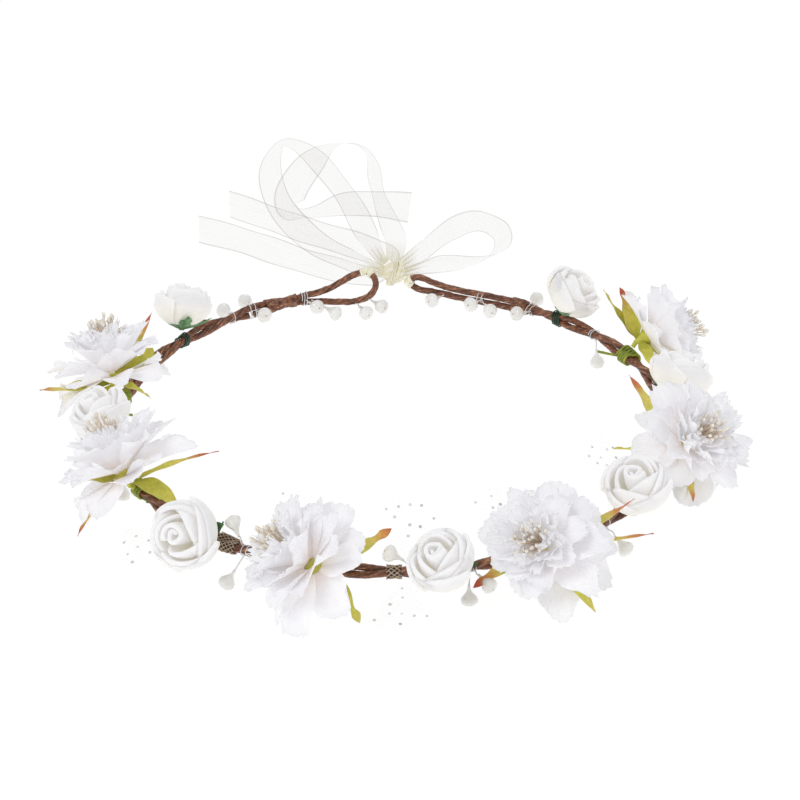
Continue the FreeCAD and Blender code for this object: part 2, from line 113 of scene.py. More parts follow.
# Each sepal of a silk flower: heading in degrees from +X towards +Y, length, width, slope in degrees
# at its foot and at its tip, and how far its colour runs towards red.
SEPALS = {
    "flower_left": [
        (-19, 22, 8.0, -3, -47, 0.6), (-128, 27, 4.6, -4, -30, 1.05), (14, 31, 3.4, 20, 8, 1.1),
        (95, 20, 5.5, 10, 20, 0.8), (178, 15, 5.5, 6, 0, 0.8),
    ],
    "flower_front_left": [
        (24, 26, 7.5, 16, 34, 0.95), (-48, 22, 6.5, -12, -42, 0.6), (100, 20, 5.5, 12, 24, 0.9),
        (178, 15, 5.5, 0, -10, 0.8), (-128, 12, 5.5, -30, -60, 0.7),
    ],
    "flower_front_right": [
        (-158, 27, 7.5, -8, -26, 1.08), (-60, 26, 6.0, -12, -40, 0.65), (10, 33, 5.0, 2, 12, 1.05),
        (24, 32, 7.5, 12, 28, 1.08), (120, 18, 5.5, 14, 24, 0.8),
    ],
    "flower_right": [
        (122, 31, 7.0, 22, 38, 1.0), (-84, 21, 6.5, -14, -46, 0.95), (192, 22, 6.0, 0, 12, 0.55),
        (-20, 16, 5.5, 0, -16, 0.8), (50, 18, 5.5, 10, 20, 0.8),
    ],
    "flower_back_right": [
        (150, 22, 4.4, 44, 64, 0.6), (132, 20, 8.0, 54, 76, 1.08), (-24, 24, 9.0, -22, -52, 0.98),
        (30, 18, 5.5, 10, 20, 0.8), (-75, 14, 5.0, -10, -50, 0.6),
    ],
    "flower_back_left": [
        (183, 25, 8.0, -12, 2, 0.95), (40, 18, 9.5, 20, 48, 0.5), (62, 32, 5.5, 22, 32, 1.08),
        (-10, 13, 5.0, -6, -30, 0.7), (-110, 13, 5.5, -10, -40, 0.6),
    ],
}
# Each berry: azimuth, the way its wire points as (along, outward, up), and the wire's length, or None
# for one that hangs to the table. A berry on an eyelet adds its place out from and above the ring.
BERRIES = {
    "berries_back_left": [
        (212.3, (0.15, -0.9, 0.25), 1.4), (213.4, (-0.3, 1.0, -0.1), 1.4), (218.0, (-0.2, 1.0, -0.2), 1.2),
        (200.5, (-0.2, -1.0, 0.1), 1.2), (199.5, (-0.55, -0.75, -0.2), 4.5),
        (189.5, (-0.4, -0.9, -0.1), 1.4, -5.0, -1.2), (186.4, (-0.4, -0.6, 0.0), 1.4, -5.0, 0.0),
    ],
    "berries_back_right": [
        (168.5, (0.4, -0.8, 0.1), 1.4, 1.0, -0.8), (159.5, (0.2, -0.95, 0.2), 1.6),
        (160.5, (-0.6, -0.75, 0.0), 2.2), (148.2, (0.3, 1.0, -0.1), 1.6), (147.0, (0.2, -0.8, 0.2), 1.6),
        (129.9, (0.0, 0.1, -1.0), None),
    ],
    "berries_front_left": [
        (329.7, (-0.5, -0.1, 0.95), 1.6), (330.4, (-0.4, 0.3, -0.85), None),
        (4.2, (-0.85, 0.1, 0.6), 3.0, 0.1, 2.2), (288.0, (0.0, 0.1, -1.0), None),
    ],
    "berries_front_right": [
        (14.6, (0.0, 0.15, -0.95), None), (15.0, (0.4, 0.8, -0.3), 1.2), (46.0, (0.2, 0.9, -0.75), 3.0),
        (66.0, (0.1, 1.0, -0.3), 2.0),
    ],
}
BERRY_LENGTH = 7.5
BERRY_FOOT_R = 2.95      # where its wire leaves the vine, from the vine's middle
BERRY_EYELET_FOOT_R = 1.7
BERRY_REST = 0.3         # how far a hanging berry's tip stays above the table

NET_FANS = [             # azimuth, and the way the fan points as (along, outward, up)
    (337.5, (0.1, -0.8, 0.6)), (315.5, (-0.6, 0.7, -0.4)), (3.6, (0.0, -0.7, 0.7)),
    (3.2, (-0.2, 0.95, -0.3)), (60, (-0.1, -0.8, 0.6)), (24.5, (0.1, -0.8, 0.6)),
]
NET_FAN_R = 25.0
NET_FAN_FOOT_R = 4.6
NET_FAN_HALF = math.radians(26)

# Ribbon strips: points down the middle, each with the direction across the ribbon.
RIBBONS = {
    "bow_loop_left": [
        ((-3.6, 101.6, 22.4), (-0.2, -0.9, 0.1)), ((-9, 105.5, 30), (-0.6, -0.8, 0.1)),
        ((-18, 119, 42.5), (-0.7, -0.6, 0.2)), ((-31, 133, 52.5), (-0.5, -0.9, 0.1)),
        ((-42, 140, 54), (0.2, -1.0, 0.2)), ((-47, 134, 46), (0.7, -0.5, 0.5)),
        ((-42.5, 122.5, 35), (0.7, -0.2, 0.7)), ((-31, 113.5, 26.5), (0.4, -0.2, 0.9)),
        ((-17, 107, 21.5), (0.2, -0.3, 0.9)), ((-3.8, 102, 19), (0.1, -0.3, 0.9)),
    ],
    "bow_loop_right": [
        ((3.2, 103.6, 21.5), (-0.2, -0.4, 0.9)), ((12, 112, 24), (-0.2, -0.4, 0.9)),
        ((22, 121, 27), (-0.1, -0.3, 1.0)), ((32, 126, 28), (0.1, -0.4, 0.9)),
        ((40, 122.5, 25.5), (0.5, -0.5, 0.7)), ((40, 115, 21.5), (0.6, -0.6, 0.6)),
        ((30, 110, 18.8), (0.3, -0.6, 0.7)), ((15, 109, 18.3), (0.1, -0.5, 0.9)),
        ((3.8, 103.2, 18.2), (0.0, -0.4, 0.9)),
    ],
    "curled_tail": [
        ((-0.4, 103.3, 22.6), (-1.0, 0.0, 0.2)), ((0.6, 111, 28.5), (-0.8, -0.3, 0.4)),
        ((-3.5, 122.5, 34.5), (-0.6, -0.5, 0.5)), ((-7, 134, 39.5), (-0.5, -0.6, 0.6)),
        ((-8.5, 143, 45.5), (-0.3, -0.7, 0.6)), ((-14, 150, 48.5), (-0.1, -0.9, 0.4)),
        ((-23, 152, 47.5), (0.2, -0.9, 0.3)), ((-33, 150, 40), (0.7, -0.6, -0.2)),
        ((-40, 146, 30), (0.8, -0.1, -0.4)), ((-39, 144.5, 23), (0.6, 0.6, -0.2)),
        ((-31, 144.5, 22.5), (0.1, 1.0, 0.0)), ((-19, 144.5, 26), (-0.2, 0.9, 0.3)),
        ((-6, 143, 27), (0.0, 0.8, 0.5)), ((6, 141, 26.5), (0.0, 0.6, 0.8)),
    ],
    "long_tail": [
        ((-3.6, 105.0, 17.4), (0.0, -0.5, 0.8)), ((-10.5, 112, 12.9), (-0.3, -0.2, 0.9)),
        ((-20, 122, 9), (-0.1, -0.2, 1.0)), ((-34, 133, 7), (0.0, -0.1, 1.0)),
        ((-48, 144, 6.6), (0.0, 0.0, 1.0)), ((-62, 154, 6.6), (0.0, 0.0, 1.0)),
        ((-77, 162, 6.6), (0.0, 0.0, 1.0)),
    ],
    "short_tail": [
        ((2.4, 105.2, 17.8), (0.0, -0.2, 1.0)), ((0.5, 117, 15.6), (0.0, 0.0, 1.0)),
        ((-13, 136, 12), (0.0, 0.0, 1.0)), ((-32, 155, 8.8), (0.0, 0.0, 1.0)),
        ((-50, 171, 7), (0.0, 0.0, 1.0)), ((-66, 184, 6.6), (0.0, 0.0, 1.0)),
    ],
}


# ---- places round the ring ----------------------------------------------------------------

def unit(v):
    v = np.asarray(v, float)
    return v / np.linalg.norm(v, axis=-1, keepdims=True)


def ring_axes(azimuth):
    """The directions along the ring, outward and up at an azimuth."""
    a = math.radians(azimuth)
    return np.array(((math.cos(a), math.sin(a), 0), (math.sin(a), -math.cos(a), 0), (0, 0, 1.0)))


def ring_point(azimuth, out=0.0, up=0.0):
    _, outward, upward = ring_axes(azimuth)
    return outward * (RING_R + out) + upward * (VINE_Z + up)


def ring_direction(azimuth, parts):
    return unit(np.asarray(parts) @ ring_axes(azimuth))


def frame_of(axis, side):
    """Rows x, y, z of a frame whose z is axis and whose x is towards side."""
    z = unit(axis)
    x = unit(side - z * np.dot(side, z))
    return np.array((x, np.cross(z, x), z))


def head_place(azimuth, out, up, axis):
    """The foot of a head and its frame, whose z is the head's axis and whose x is outward."""
    return ring_point(azimuth, out, up), frame_of(ring_direction(azimuth, axis), ring_axes(azimuth)[1])


def spin(turn):
    """Turns rows of points about z."""
    c, s = math.cos(turn), math.sin(turn)
    return np.array(((c, s, 0), (-s, c, 0), (0, 0, 1)))


def angles_round(count):
    return np.linspace(0, 2 * math.pi, count, endpoint=False)


def revolved(r, angle, z):
    """Points at radii, angles and heights."""
    return np.stack((r * np.cos(angle), r * np.sin(angle), z + 0 * r), -1)


def strand_angle(azimuth):
    """Where the long strand is round the vine's middle, in radians from outward towards up."""
    share = (azimuth - LEFT_TWIST_AZ) / (RIGHT_TWIST_AZ - LEFT_TWIST_AZ)
    return -math.pi / 2 + 2 * math.pi * TWIST_TURNS * share


def twist_point(azimuth, side):
    phase = strand_angle(azimuth)
    return ring_point(azimuth, side * TWIST_R * math.cos(phase), side * TWIST_R * math.sin(phase))


def twisted(first, last, side):
    steps = max(2, round(abs(last - first) / TWIST_STEP))
    return [twist_point(first + (last - first) * i / steps, side) for i in range(steps + 1)]


def vine_radius(azimuth, angle):
    """How far the twisted pair reaches from the vine's middle, at an angle from outward towards up."""
    wound = azimuth + 360 if azimuth < LEFT_TWIST_AZ else azimuth
    return TWIST_R * abs(math.cos(angle - strand_angle(wound))) + STRAND_R


# ---- mesh building ------------------------------------------------------------------------

class Patches:
    """Grids of points that become one mesh, with named values at each point."""

    def __init__(self):
        self.points, self.faces, self.values, self.uvs, self.count = [], [], {}, [], 0

    def add(self, grid, closed=False, uv=None, **values):
        """Adds a grid. When closed, each row of points joins up into a loop."""
        rows, cols = grid.shape[:2]
        i = np.arange(rows - 1)[:, None]
        j = np.arange(cols if closed else cols - 1)[None, :]
        j2 = (j + 1) % cols
        corners = [i * cols + j, i * cols + j2, (i + 1) * cols + j2, (i + 1) * cols + j]
        self.faces.append(np.stack(corners, -1).reshape(-1, 4) + self.count)
        self.points.append(grid.reshape(-1, 3))
        self.uvs.append(np.zeros((rows * cols, 2)) if uv is None else uv.reshape(-1, 2))
        for name, value in values.items():
            full = np.broadcast_to(np.asarray(value, float), (rows, cols)).reshape(-1)
            self.values.setdefault(name, []).append((self.count, full))
        self.count += rows * cols

    def make(self, name, material, body, slot, nodes=()):
        """One object from all the patches, riding on a body and standing for some CAD nodes."""
        mesh = bpy.data.meshes.new(name)
        mesh.from_pydata((np.concatenate(self.points) * MM).tolist(), [], np.concatenate(self.faces).tolist())
        for key, chunks in self.values.items():
            flat = np.zeros(self.count, np.float32)
            for start, chunk in chunks:
                flat[start:start + len(chunk)] = chunk
            mesh.attributes.new(key, "FLOAT", "POINT").data.foreach_set("value", flat)
        loops = np.zeros(len(mesh.loops), np.int32)
        mesh.loops.foreach_get("vertex_index", loops)
        flat_uv = np.concatenate(self.uvs).astype(np.float32)[loops]
        mesh.uv_layers.new(name="flat").data.foreach_set("uv", flat_uv.reshape(-1))
        mesh.shade_smooth()
        mesh.materials.append(material)
        piece = placed(name, mesh)
        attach(piece, body)
        if nodes:
            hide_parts(*nodes)
        return piece


def placed(name, data):
    """An object in the scene."""
    made = bpy.data.objects.new(name, data)
    bpy.context.scene.collection.objects.link(made)
    return made


def smooth_path(points, step):
    """A smooth line inside the corners of the points, as a quadratic B-spline sampled every step."""
    p = np.asarray(points, float)
    middles = (p[:-1] + p[1:]) / 2
    line = [p[:1], np.linspace(p[0], middles[0], 4)[1:]]
    for a, corner, b in zip(middles, p[1:-1], middles[1:]):
        count = max(2, int(np.linalg.norm(b - a) / step))
        t = np.linspace(0, 1, count + 1)[1:, None]
        line.append(a * (1 - t) ** 2 + corner * 2 * t * (1 - t) + b * t ** 2)
    line.append(np.linspace(middles[-1], p[-1], 4)[1:])
    return np.concatenate(line)


def through(points, steps):
    """A smooth curve that passes through the points, with steps samples between two of them."""
    p = np.asarray(points, float)
    p = np.concatenate((p[:1], p, p[-1:]))
    line = []
    for a, b, c, d in zip(p, p[1:], p[2:], p[3:]):
        t = (np.arange(steps) / steps)[:, None]
        line.append((b * 2 + (c - a) * t + (a * 2 - b * 5 + c * 4 - d) * t ** 2
                     + (b * 3 - a - c * 3 + d) * t ** 3) / 2)
    line.append(p[-1:])
    return np.concatenate(line)


def carried_frames(line):
    """Directions square to a line, carried along it with no twist, as two arrays."""
    tangents = unit(np.gradient(line, axis=0))
    side = unit(np.cross(tangents[0], (0.3, 0.2, 0.9)))
    sides = []
    for t in tangents:
        side = unit(side - t * np.dot(side, t))
        sides.append(side)
    sides = np.array(sides)
    return sides, np.cross(tangents, sides)


def on_table(points):
    """Points that would hang below the table are laid on it."""
    rested = np.array(points, float)
    z = rested[..., 2] - 0.3
    rested[..., 2] = 0.3 + (z + np.sqrt(z * z + 1.0)) / 2
    return rested


def lengths_along(line):
    return np.concatenate(([0], np.cumsum(np.linalg.norm(np.diff(line, axis=0), axis=1))))


def tube(patches, line, radius, around, **values):
    """A round tube along a line. radius is a number, one per point, or one per point and angle."""
    sides, ups = carried_frames(line)
    angle = angles_round(around)
    r = np.asarray(radius, float)
    r = np.broadcast_to(r if r.ndim == 2 else r.reshape(-1, 1), (len(line), around))[:, :, None]
    ring = sides[:, None] * np.cos(angle)[None, :, None] + ups[:, None] * np.sin(angle)[None, :, None]
    grid = line[:, None] + ring * r
    caps = [np.repeat(end[None, None], around, 1) for end in (line[0], line[-1])]
    values = {k: np.concatenate((v[:1], v, v[-1:])) if np.ndim(v) else v for k, v in values.items()}
    patches.add(np.concatenate((caps[0], grid, caps[1])), closed=True, **values)


def turned(patches, profile, foot, axes, around=16, wobble=1.0, **values):
    """A profile of (radius, height) turned about the z of a frame at a point.
    The radius is scaled by wobble, a number or one for each height and angle."""
    r, z = np.hsplit(np.asarray(profile, float), 2)
    angle = angles_round(around)[None, :]
    patches.add(foot + revolved(r * (wobble + 0 * angle), angle, z) @ axes, closed=True, **values)


# ---- materials ----------------------------------------------------------------------------

class Shader:
    """A material on the Principled shader, with short ways to add nodes to it."""

    def __init__(self, name, **sockets):
        self.material = bpy.data.materials.new(name)
        self.material.use_nodes = True
        self.tree = self.material.node_tree
        self.surface = self.tree.nodes["Principled BSDF"]
        for key, value in sockets.items():
            self.surface.inputs[key.replace("_", " ")].default_value = value

    def node(self, kind, out=0, settings=None, **inputs):
        made = self.tree.nodes.new("ShaderNode" + kind)
        for key, value in (settings or {}).items():
            setattr(made, key, value)
        for key, value in inputs.items():
            self.put(made.inputs[int(key[1:]) if key[1:].isdigit() else key.replace("_", " ")], value)
        return made.outputs[out]

    def put(self, socket, value):
        if isinstance(value, bpy.types.NodeSocket):
            self.tree.links.new(value, socket)
        else:
            socket.default_value = value

    def set(self, key, value):
        self.put(self.surface.inputs[key], value)

    def value(self, name):
        return self.node("Attribute", out=2, settings={"attribute_name": name})

    def noise(self, scale, detail=3.0, roughness=0.5, at=None):
        where = at or self.node("TexCoord", out=3)
        return self.node("TexNoise", Vector=where, Scale=scale, Detail=detail, Roughness=roughness)

    def mottle(self, scale, detail, dark, light):
        return self.ramp(self.noise(scale, detail), (0.3, dark), (0.7, light))

    def ramp(self, factor, *stops):
        socket = self.node("ValToRGB", Fac=factor)
        elements = socket.node.color_ramp.elements
        while len(elements) < len(stops):
            elements.new(0.5)
        for element, (place, colour) in zip(elements, stops):
            element.position = place
            element.color = (*colour, 1) if len(colour) == 3 else colour
        return socket

    def mix(self, factor, a, b, how="MIX"):
        settings = {"data_type": "RGBA", "blend_type": how}
        return self.node("Mix", out=2, settings=settings, _0=factor, _6=a, _7=b)

    def math(self, how, a, b=0.0, c=0.0):
        return self.node("Math", settings={"operation": how}, _0=a, _1=b, _2=c)

    def bump(self, height, strength, distance):
        self.set("Normal", self.node("Bump", Strength=strength, Distance=distance, Height=height))


def grey(value):
    return (value, value, value, 1)


EVEN, WARM = (1.0, 1.0, 1.0), (1.0, 1.0, 0.9)        # how far red, green and blue spread below a surface


def silk_material():
    # Painted light: a faint white emission lifts the silk's shade, as if the cloth glowed.
    s = Shader("silk_cloth", Roughness=0.8, Specular_IOR_Level=0.2, Sheen_Weight=0.2, Subsurface_Weight=0.35,
               Subsurface_Scale=0.004, Subsurface_Radius=EVEN, Emission_Color=(1.0, 0.98, 0.98, 1),
               Emission_Strength=0.10)
    mottle = s.mottle(150, 4, (0.895, 0.895, 0.925), (0.935, 0.935, 0.955))
    heart = s.ramp(s.value("heart"), (0.0, (1, 1, 1)), (0.62, (1.0, 0.985, 0.97)), (1.0, (0.98, 0.88, 0.80)))
    s.set("Base Color", s.mix(1.0, mottle, heart, "MULTIPLY"))
    veins = s.node("TexWave", settings={"bands_direction": "X"}, Vector=s.node("UVMap"), Scale=0.5,
                   Distortion=1.5, Detail=2.0)
    s.bump(s.mix(0.3, veins, s.noise(2400, 2)), 0.2, 0.0006)
    return s.material


def foam_material():
    # Painted light: a faint white emission lifts the foam's shade, as if the foam glowed.
    s = Shader("foam", Roughness=0.7, Specular_IOR_Level=0.25, Sheen_Weight=0.1, Subsurface_Weight=0.6,
               Subsurface_Scale=0.004, Subsurface_Radius=WARM, Emission_Color=(1.0, 0.98, 0.96, 1),
               Emission_Strength=0.09)
    # Painted crevice shade: the foam is tinted warmer and a little darker where deep is high, low down
    # between the petals.
    shade = s.ramp(s.value("deep"), (0.0, (0.90, 0.895, 0.91)), (0.5, (0.90, 0.885, 0.87)),
                   (1.0, (0.92, 0.88, 0.75)))
    s.set("Base Color", s.mix(1.0, shade, s.mottle(300, 3, grey(0.97), grey(1)), "MULTIPLY"))
    s.bump(s.noise(1500, 4), 0.1, 0.0004)
    return s.material


def paper_material():
    """Brown paper with creases that run along the strand, and painted highlights and shade on its ridges and
    creases.
    """
    s = Shader("brown_paper", Roughness=0.5)
    grain_at = s.node("CombineXYZ", X=s.value("grain_x"), Y=s.value("grain_y"), Z=s.value("run"))
    grain = s.noise(1.0, 5, 0.62, at=grain_at)
    colour = s.ramp(grain, (0.30, (0.036, 0.010, 0.004)), (0.46, (0.14, 0.047, 0.020)),
                    (0.58, (0.27, 0.105, 0.050)), (0.72, (0.52, 0.30, 0.19)))
    # Painted highlight and shade: raised creases and tape edges are lit up past the paper's own colour,
    # hollows darkened.
    ridge = s.ramp(s.value("ridge"), (0.0, grey(0.5)), (0.6, grey(1)), (1.0, (1.5, 1.4, 1.3)))
    s.set("Base Color", s.mix(1.0, colour, ridge, "MULTIPLY"))
    s.set("Roughness", s.ramp(grain, (0.3, grey(0.62)), (0.7, grey(0.38))))
    s.bump(s.mix(0.25, grain, s.noise(1600, 3)), 0.7, 0.0006)
    return s.material


def mesh_tape_material():
    s = Shader("mesh_tape", Roughness=0.6)
    dark = s.mottle(900, 3, (0.022, 0.010, 0.006), (0.07, 0.034, 0.02))
    light = s.mottle(1300, 2, (0.36, 0.25, 0.17), (0.60, 0.47, 0.36))
    s.set("Base Color", s.mix(s.value("thread"), dark, light))
    s.bump(s.noise(2500, 2), 0.3, 0.0003)
    return s.material


def sepal_material():
    s = Shader("sepal_cloth", Roughness=0.55, Sheen_Weight=0.1, Subsurface_Weight=0.2, Subsurface_Scale=0.002)
    tint = s.math("ADD", s.value("along"), s.math("MULTIPLY", s.math("SUBTRACT", s.noise(220, 3), 0.5), 0.3))
    colour = s.ramp(tint, (0.0, (0.54, 0.54, 0.05)), (0.45, (0.82, 0.76, 0.13)), (0.70, (0.86, 0.72, 0.17)),
                    (0.84, (0.80, 0.36, 0.09)), (0.97, (0.66, 0.12, 0.055)))
    veins = s.ramp(s.noise(700, 3), (0.35, grey(0.84)), (0.65, grey(1)))
    s.set("Base Color", s.mix(1.0, colour, veins, "MULTIPLY"))
    lines = s.node("TexWave", settings={"bands_direction": "X"}, Vector=s.node("UVMap"), Scale=1.2,
                   Distortion=0.6)
    s.bump(lines, 0.35, 0.0004)
    return s.material


def green_material(name, dark, light, roughness=0.5):
    s = Shader(name, Roughness=roughness)
    s.set("Base Color", s.mottle(500, 4, dark, light))
    s.bump(s.noise(1300, 3), 0.35, 0.0004)
    return s.material


def pearl_material():
    s = Shader("pearl", Roughness=0.3, Coat_Weight=0.5, Coat_Roughness=0.15, Subsurface_Weight=0.2,
               Subsurface_Scale=0.003, Subsurface_Radius=EVEN)
    body = s.ramp(s.noise(160, 3), (0.3, (0.80, 0.77, 0.71)), (0.55, (0.88, 0.87, 0.84)), (0.8, grey(0.92)))
    tip = s.ramp(s.value("tip"), (0.990, grey(1)), (0.999, (0.62, 0.54, 0.46)))
    s.set("Base Color", s.mix(1.0, body, tip, "MULTIPLY"))
    s.bump(s.noise(700, 3), 0.08, 0.0004)
    return s.material


def stamen_material():
    s = Shader("stamen_thread", Roughness=0.5)
    s.set("Base Color", s.ramp(s.value("along"), (0.0, (0.93, 0.86, 0.78)), (0.55, (0.80, 0.64, 0.48)),
                               (1.0, (0.82, 0.68, 0.50))))
    s.bump(s.noise(3000, 2), 0.2, 0.0002)
    return s.material


def bead_material():
    s = Shader("stamen_tip", Roughness=0.2, Coat_Weight=0.9, Coat_Roughness=0.08, Subsurface_Weight=0.2,
               Subsurface_Scale=0.001, Subsurface_Radius=EVEN)
    s.set("Base Color", s.ramp(s.noise(900, 2), (0.3, (0.80, 0.69, 0.54)), (0.6, (0.93, 0.89, 0.82))))
    s.bump(s.noise(1500, 2), 0.1, 0.0002)
    return s.material


def organza_material():
    """Sheer cloth: fine threads with gaps between them, and a closer woven edge."""
    s = Shader("organza", Roughness=0.5, Sheen_Weight=0.2)
    flat = s.node("SeparateXYZ", Vector=s.node("UVMap")).node
    across, along = flat.outputs[0], flat.outputs[1]
    weft = s.math("SINE", s.math("MULTIPLY", along, 14.0))
    warp = s.math("SINE", s.math("MULTIPLY", across, 14.0))
    threads = s.math("MAXIMUM", weft, warp)
    edge = s.math("GREATER_THAN", s.math("ABSOLUTE", across), RIBBON_WIDTH / 2 - 0.55)
    streaks = s.noise(1.0, 3, at=s.node("CombineXYZ", X=s.math("MULTIPLY", across, 0.9),
                                        Y=s.math("MULTIPLY", along, 0.06)))
    sheer = s.math("ADD", s.math("MULTIPLY", threads, 0.04), s.math("MULTIPLY_ADD", streaks, 0.12, 0.09))
    gather = s.math("MULTIPLY", s.value("gather"), 0.85)
    s.set("Alpha", s.math("MAXIMUM", s.math("MAXIMUM", sheer, gather), s.math("MULTIPLY", edge, 0.42)))
    cloudy = s.mottle(120, 3, (0.60, 0.575, 0.53), (0.69, 0.665, 0.62))
    sheet = s.mix(edge, cloudy, (0.42, 0.39, 0.34, 1))
    s.set("Base Color", s.mix(s.value("gather"), sheet, (0.92, 0.87, 0.66, 1)))
    return s.material


def knot_material():
    s = Shader("organza_gathered", Roughness=0.5, Sheen_Weight=0.3, Subsurface_Weight=0.3,
               Subsurface_Scale=0.002, Subsurface_Radius=WARM)
    # Painted shade and light: fold hollows darker and yellower, fold crests lighter.
    s.set("Base Color", s.ramp(s.value("fold"), (0.0, (0.88, 0.80, 0.52)), (0.5, (0.92, 0.87, 0.66)),
                               (1.0, (0.94, 0.91, 0.80))))
    s.bump(s.noise(1800, 3), 0.3, 0.0003)
    return s.material


def net_material():
    s = Shader("net", Roughness=0.6)
    cells = s.node("TexVoronoi", settings={"feature": "DISTANCE_TO_EDGE"}, Vector=s.node("TexCoord", out=3),
                   Scale=1100)
    s.set("Alpha", s.math("MULTIPLY", s.math("LESS_THAN", cells, 0.08), 0.10))
    s.set("Base Color", grey(0.8))
    return s.material


def dot_material():
    s = Shader("net_dot", Roughness=0.5)
    s.set("Base Color", s.mottle(500, 2, grey(0.62), grey(0.80)))
    s.set("Alpha", s.ramp(s.noise(700, 2), (0.35, grey(0.35)), (0.65, grey(0.8))))
    return s.material


def thread_material():
    s = Shader("white_thread", Roughness=0.5)
    s.set("Base Color", s.mottle(1500, 2, grey(0.62), grey(0.85)))
    s.bump(s.noise(2500, 2), 0.2, 0.0002)
    return s.material


# ---- the vine -----------------------------------------------------------------------------

TAPE_PITCH = 3.0         # a band's tape goes once round the vine in this length
PAPER_PITCH = 6.5        # the paper tape goes once round a strand in this length
PAPER_STEP = 0.14        # how much the tape's edge stands up


def noise_round(angles, heights, radius):
    """Smooth noise on a cylinder, a row for each height and a column for each angle."""
    return np.array([[noise.noise(Vector((radius * math.cos(a), radius * math.sin(a), h))) for a in angles]
                     for h in heights])


def paper_strand(points, around=22):
    """A strand wrapped in creased paper tape."""
    line = smooth_path(points, 0.55)
    s = lengths_along(line)[:, None]
    angle = angles_round(around)[None, :]
    turn = (s / PAPER_PITCH - angle / (2 * math.pi)) % 1.0
    crease = noise_round(angle[0], s[:, 0] * 0.9, 1.6)
    slow = np.array([noise.noise(Vector((3.7, 1.1, t * 0.22))) for t in s[:, 0]])[:, None]
    radius = STRAND_R + PAPER_STEP * (turn - 0.5) + 0.13 * crease + 0.10 * slow
    # Painted light: lighter on raised creases and the tape's edge, darker in the hollows.
    ridge = np.clip(0.5 + 0.8 * crease + 0.6 * (turn > 0.88), 0, 1)
    spiral = angle + s * 0.3
    grain = {"grain_x": 1.9 * np.cos(spiral), "grain_y": 1.9 * np.sin(spiral), "run": s * 0.16}
    grain = {key: np.broadcast_to(value, ridge.shape) for key, value in grain.items()}
    return line, radius, {"ridge": ridge, **grain}


def make_vine(material):
    left, right = [[ring_point(*p) for p in eyelet] for eyelet in (LEFT_EYELET, RIGHT_EYELET)]
    long_points = (twisted(LEFT_TAIL_AZ, LEFT_TWIST_AZ, -1) + left + twisted(LEFT_TWIST_AZ, RIGHT_TWIST_AZ, 1)
                   + right + twisted(RIGHT_TWIST_AZ, RIGHT_TAIL_AZ, -1))
    short_points = twisted(LEFT_TAIL_AZ + STRAND_END_GAP, RIGHT_TAIL_AZ - STRAND_END_GAP, -1)
    for name, points in (("long_strand", long_points), ("short_strand", short_points)):
        patches = Patches()
        line, radius, values = paper_strand(points)
        tube(patches, line, radius, around=radius.shape[1], **values)
        patches.make(f"{name}_creased_paper", material, "ring", "brown_paper", [f"{name}_paper"])


def wrap(patches, azimuth, length, clearance, around=28):
    """A band of tape wound round both strands, following their twist, and closed at its ends."""
    half = math.degrees(length / 2 / RING_R)
    azimuths = np.linspace(azimuth - half, azimuth + half, max(8, int(length * 3)))
    azimuths = np.pad(azimuths, 1, mode="edge")
    angles = angles_round(around)
    s = np.radians(azimuths)[:, None] * RING_R
    turn = (s / TAPE_PITCH - angles / (2 * math.pi)) % 1.0
    rough = noise_round(angles, s[:, 0] * 0.8, 2.0)
    bare = np.array([[vine_radius(a, b) for b in angles] for a in azimuths])
    r = bare + clearance + 0.18 * turn + 0.12 * rough
    r[[0, -1]] = 0.3
    grid = np.array([[ring_point(a, q * math.cos(b), q * math.sin(b)) for q, b in zip(row, angles)]
                     for a, row in zip(azimuths, r)])
    # Painted light: lighter on raised creases and the tape's edge, darker in the hollows.
    ridge = np.clip(0.5 + 0.8 * rough + 0.6 * (turn > 0.85), 0, 1)
    patches.add(grid, closed=True, ridge=ridge, grain_x=2.4 * np.cos(angles)[None, :],
                grain_y=2.4 * np.sin(angles)[None, :], run=s * 0.5)


def make_bindings(material):
    patches = Patches()
    wrap(patches, 206, 12.0, 0.25)
    wrap(patches, 151, 6.0, 0.25)
    patches.make("eyelet_paper_bindings", material, "ring", "brown_paper", ["eyelet_bindings"])


def helix(azimuth, length, turns, clearance, start=0.0, way=1, steps=20):
    """A line wound round the vine."""
    half = math.degrees(length / 2 / RING_R)
    line = []
    for i in range(int(turns * steps) + 1):
        share = i / (turns * steps)
        a = azimuth + half * (2 * share - 1) * way
        angle = start + 2 * math.pi * turns * share
        r = vine_radius(a, angle) + clearance
        line.append(ring_point(a, r * math.cos(angle), r * math.sin(angle)))
    return np.array(line)


MESH_THREADS = 12        # threads each way in the mesh tape
MESH_PITCH = 22.0        # each goes once round the vine in this length
MESH_THREAD_R = 0.16
ROSE_WIRE_R = 0.28
STEM_TAPE_R = 0.42


def make_mesh_tape(material):
    """A dark lining, and a lattice of threads over it."""
    patches = Patches()
    for azimuth, length in ((326, 8.0), (0.2, 5.0)):
        wrap(patches, azimuth, length - 0.6, 0.1)
        for k in range(MESH_THREADS):
            for way in (1, -1):
                start = 2 * math.pi * k / MESH_THREADS
                line = helix(azimuth, length, length / MESH_PITCH, 0.40 + 0.06 * way, start, way)
                tube(patches, line, MESH_THREAD_R, around=5, thread=1.0)
    patches.make("mesh_tape", material, "ring", "mesh_tape", ["mesh_tape_wraps"])


def wound(azimuth, rng, length, turns, clearance, along, inward, up, reach, points):
    """A line wound round the vine, with a straight loose end that points inward at random."""
    line = helix(azimuth, length, turns, clearance, rng.uniform(0, 6))
    end = line[-1] + ring_direction(azimuth, (rng.uniform(*along), -inward, rng.uniform(*up))) * reach
    return np.concatenate((line, np.linspace(line[-1], end, points)[1:]))


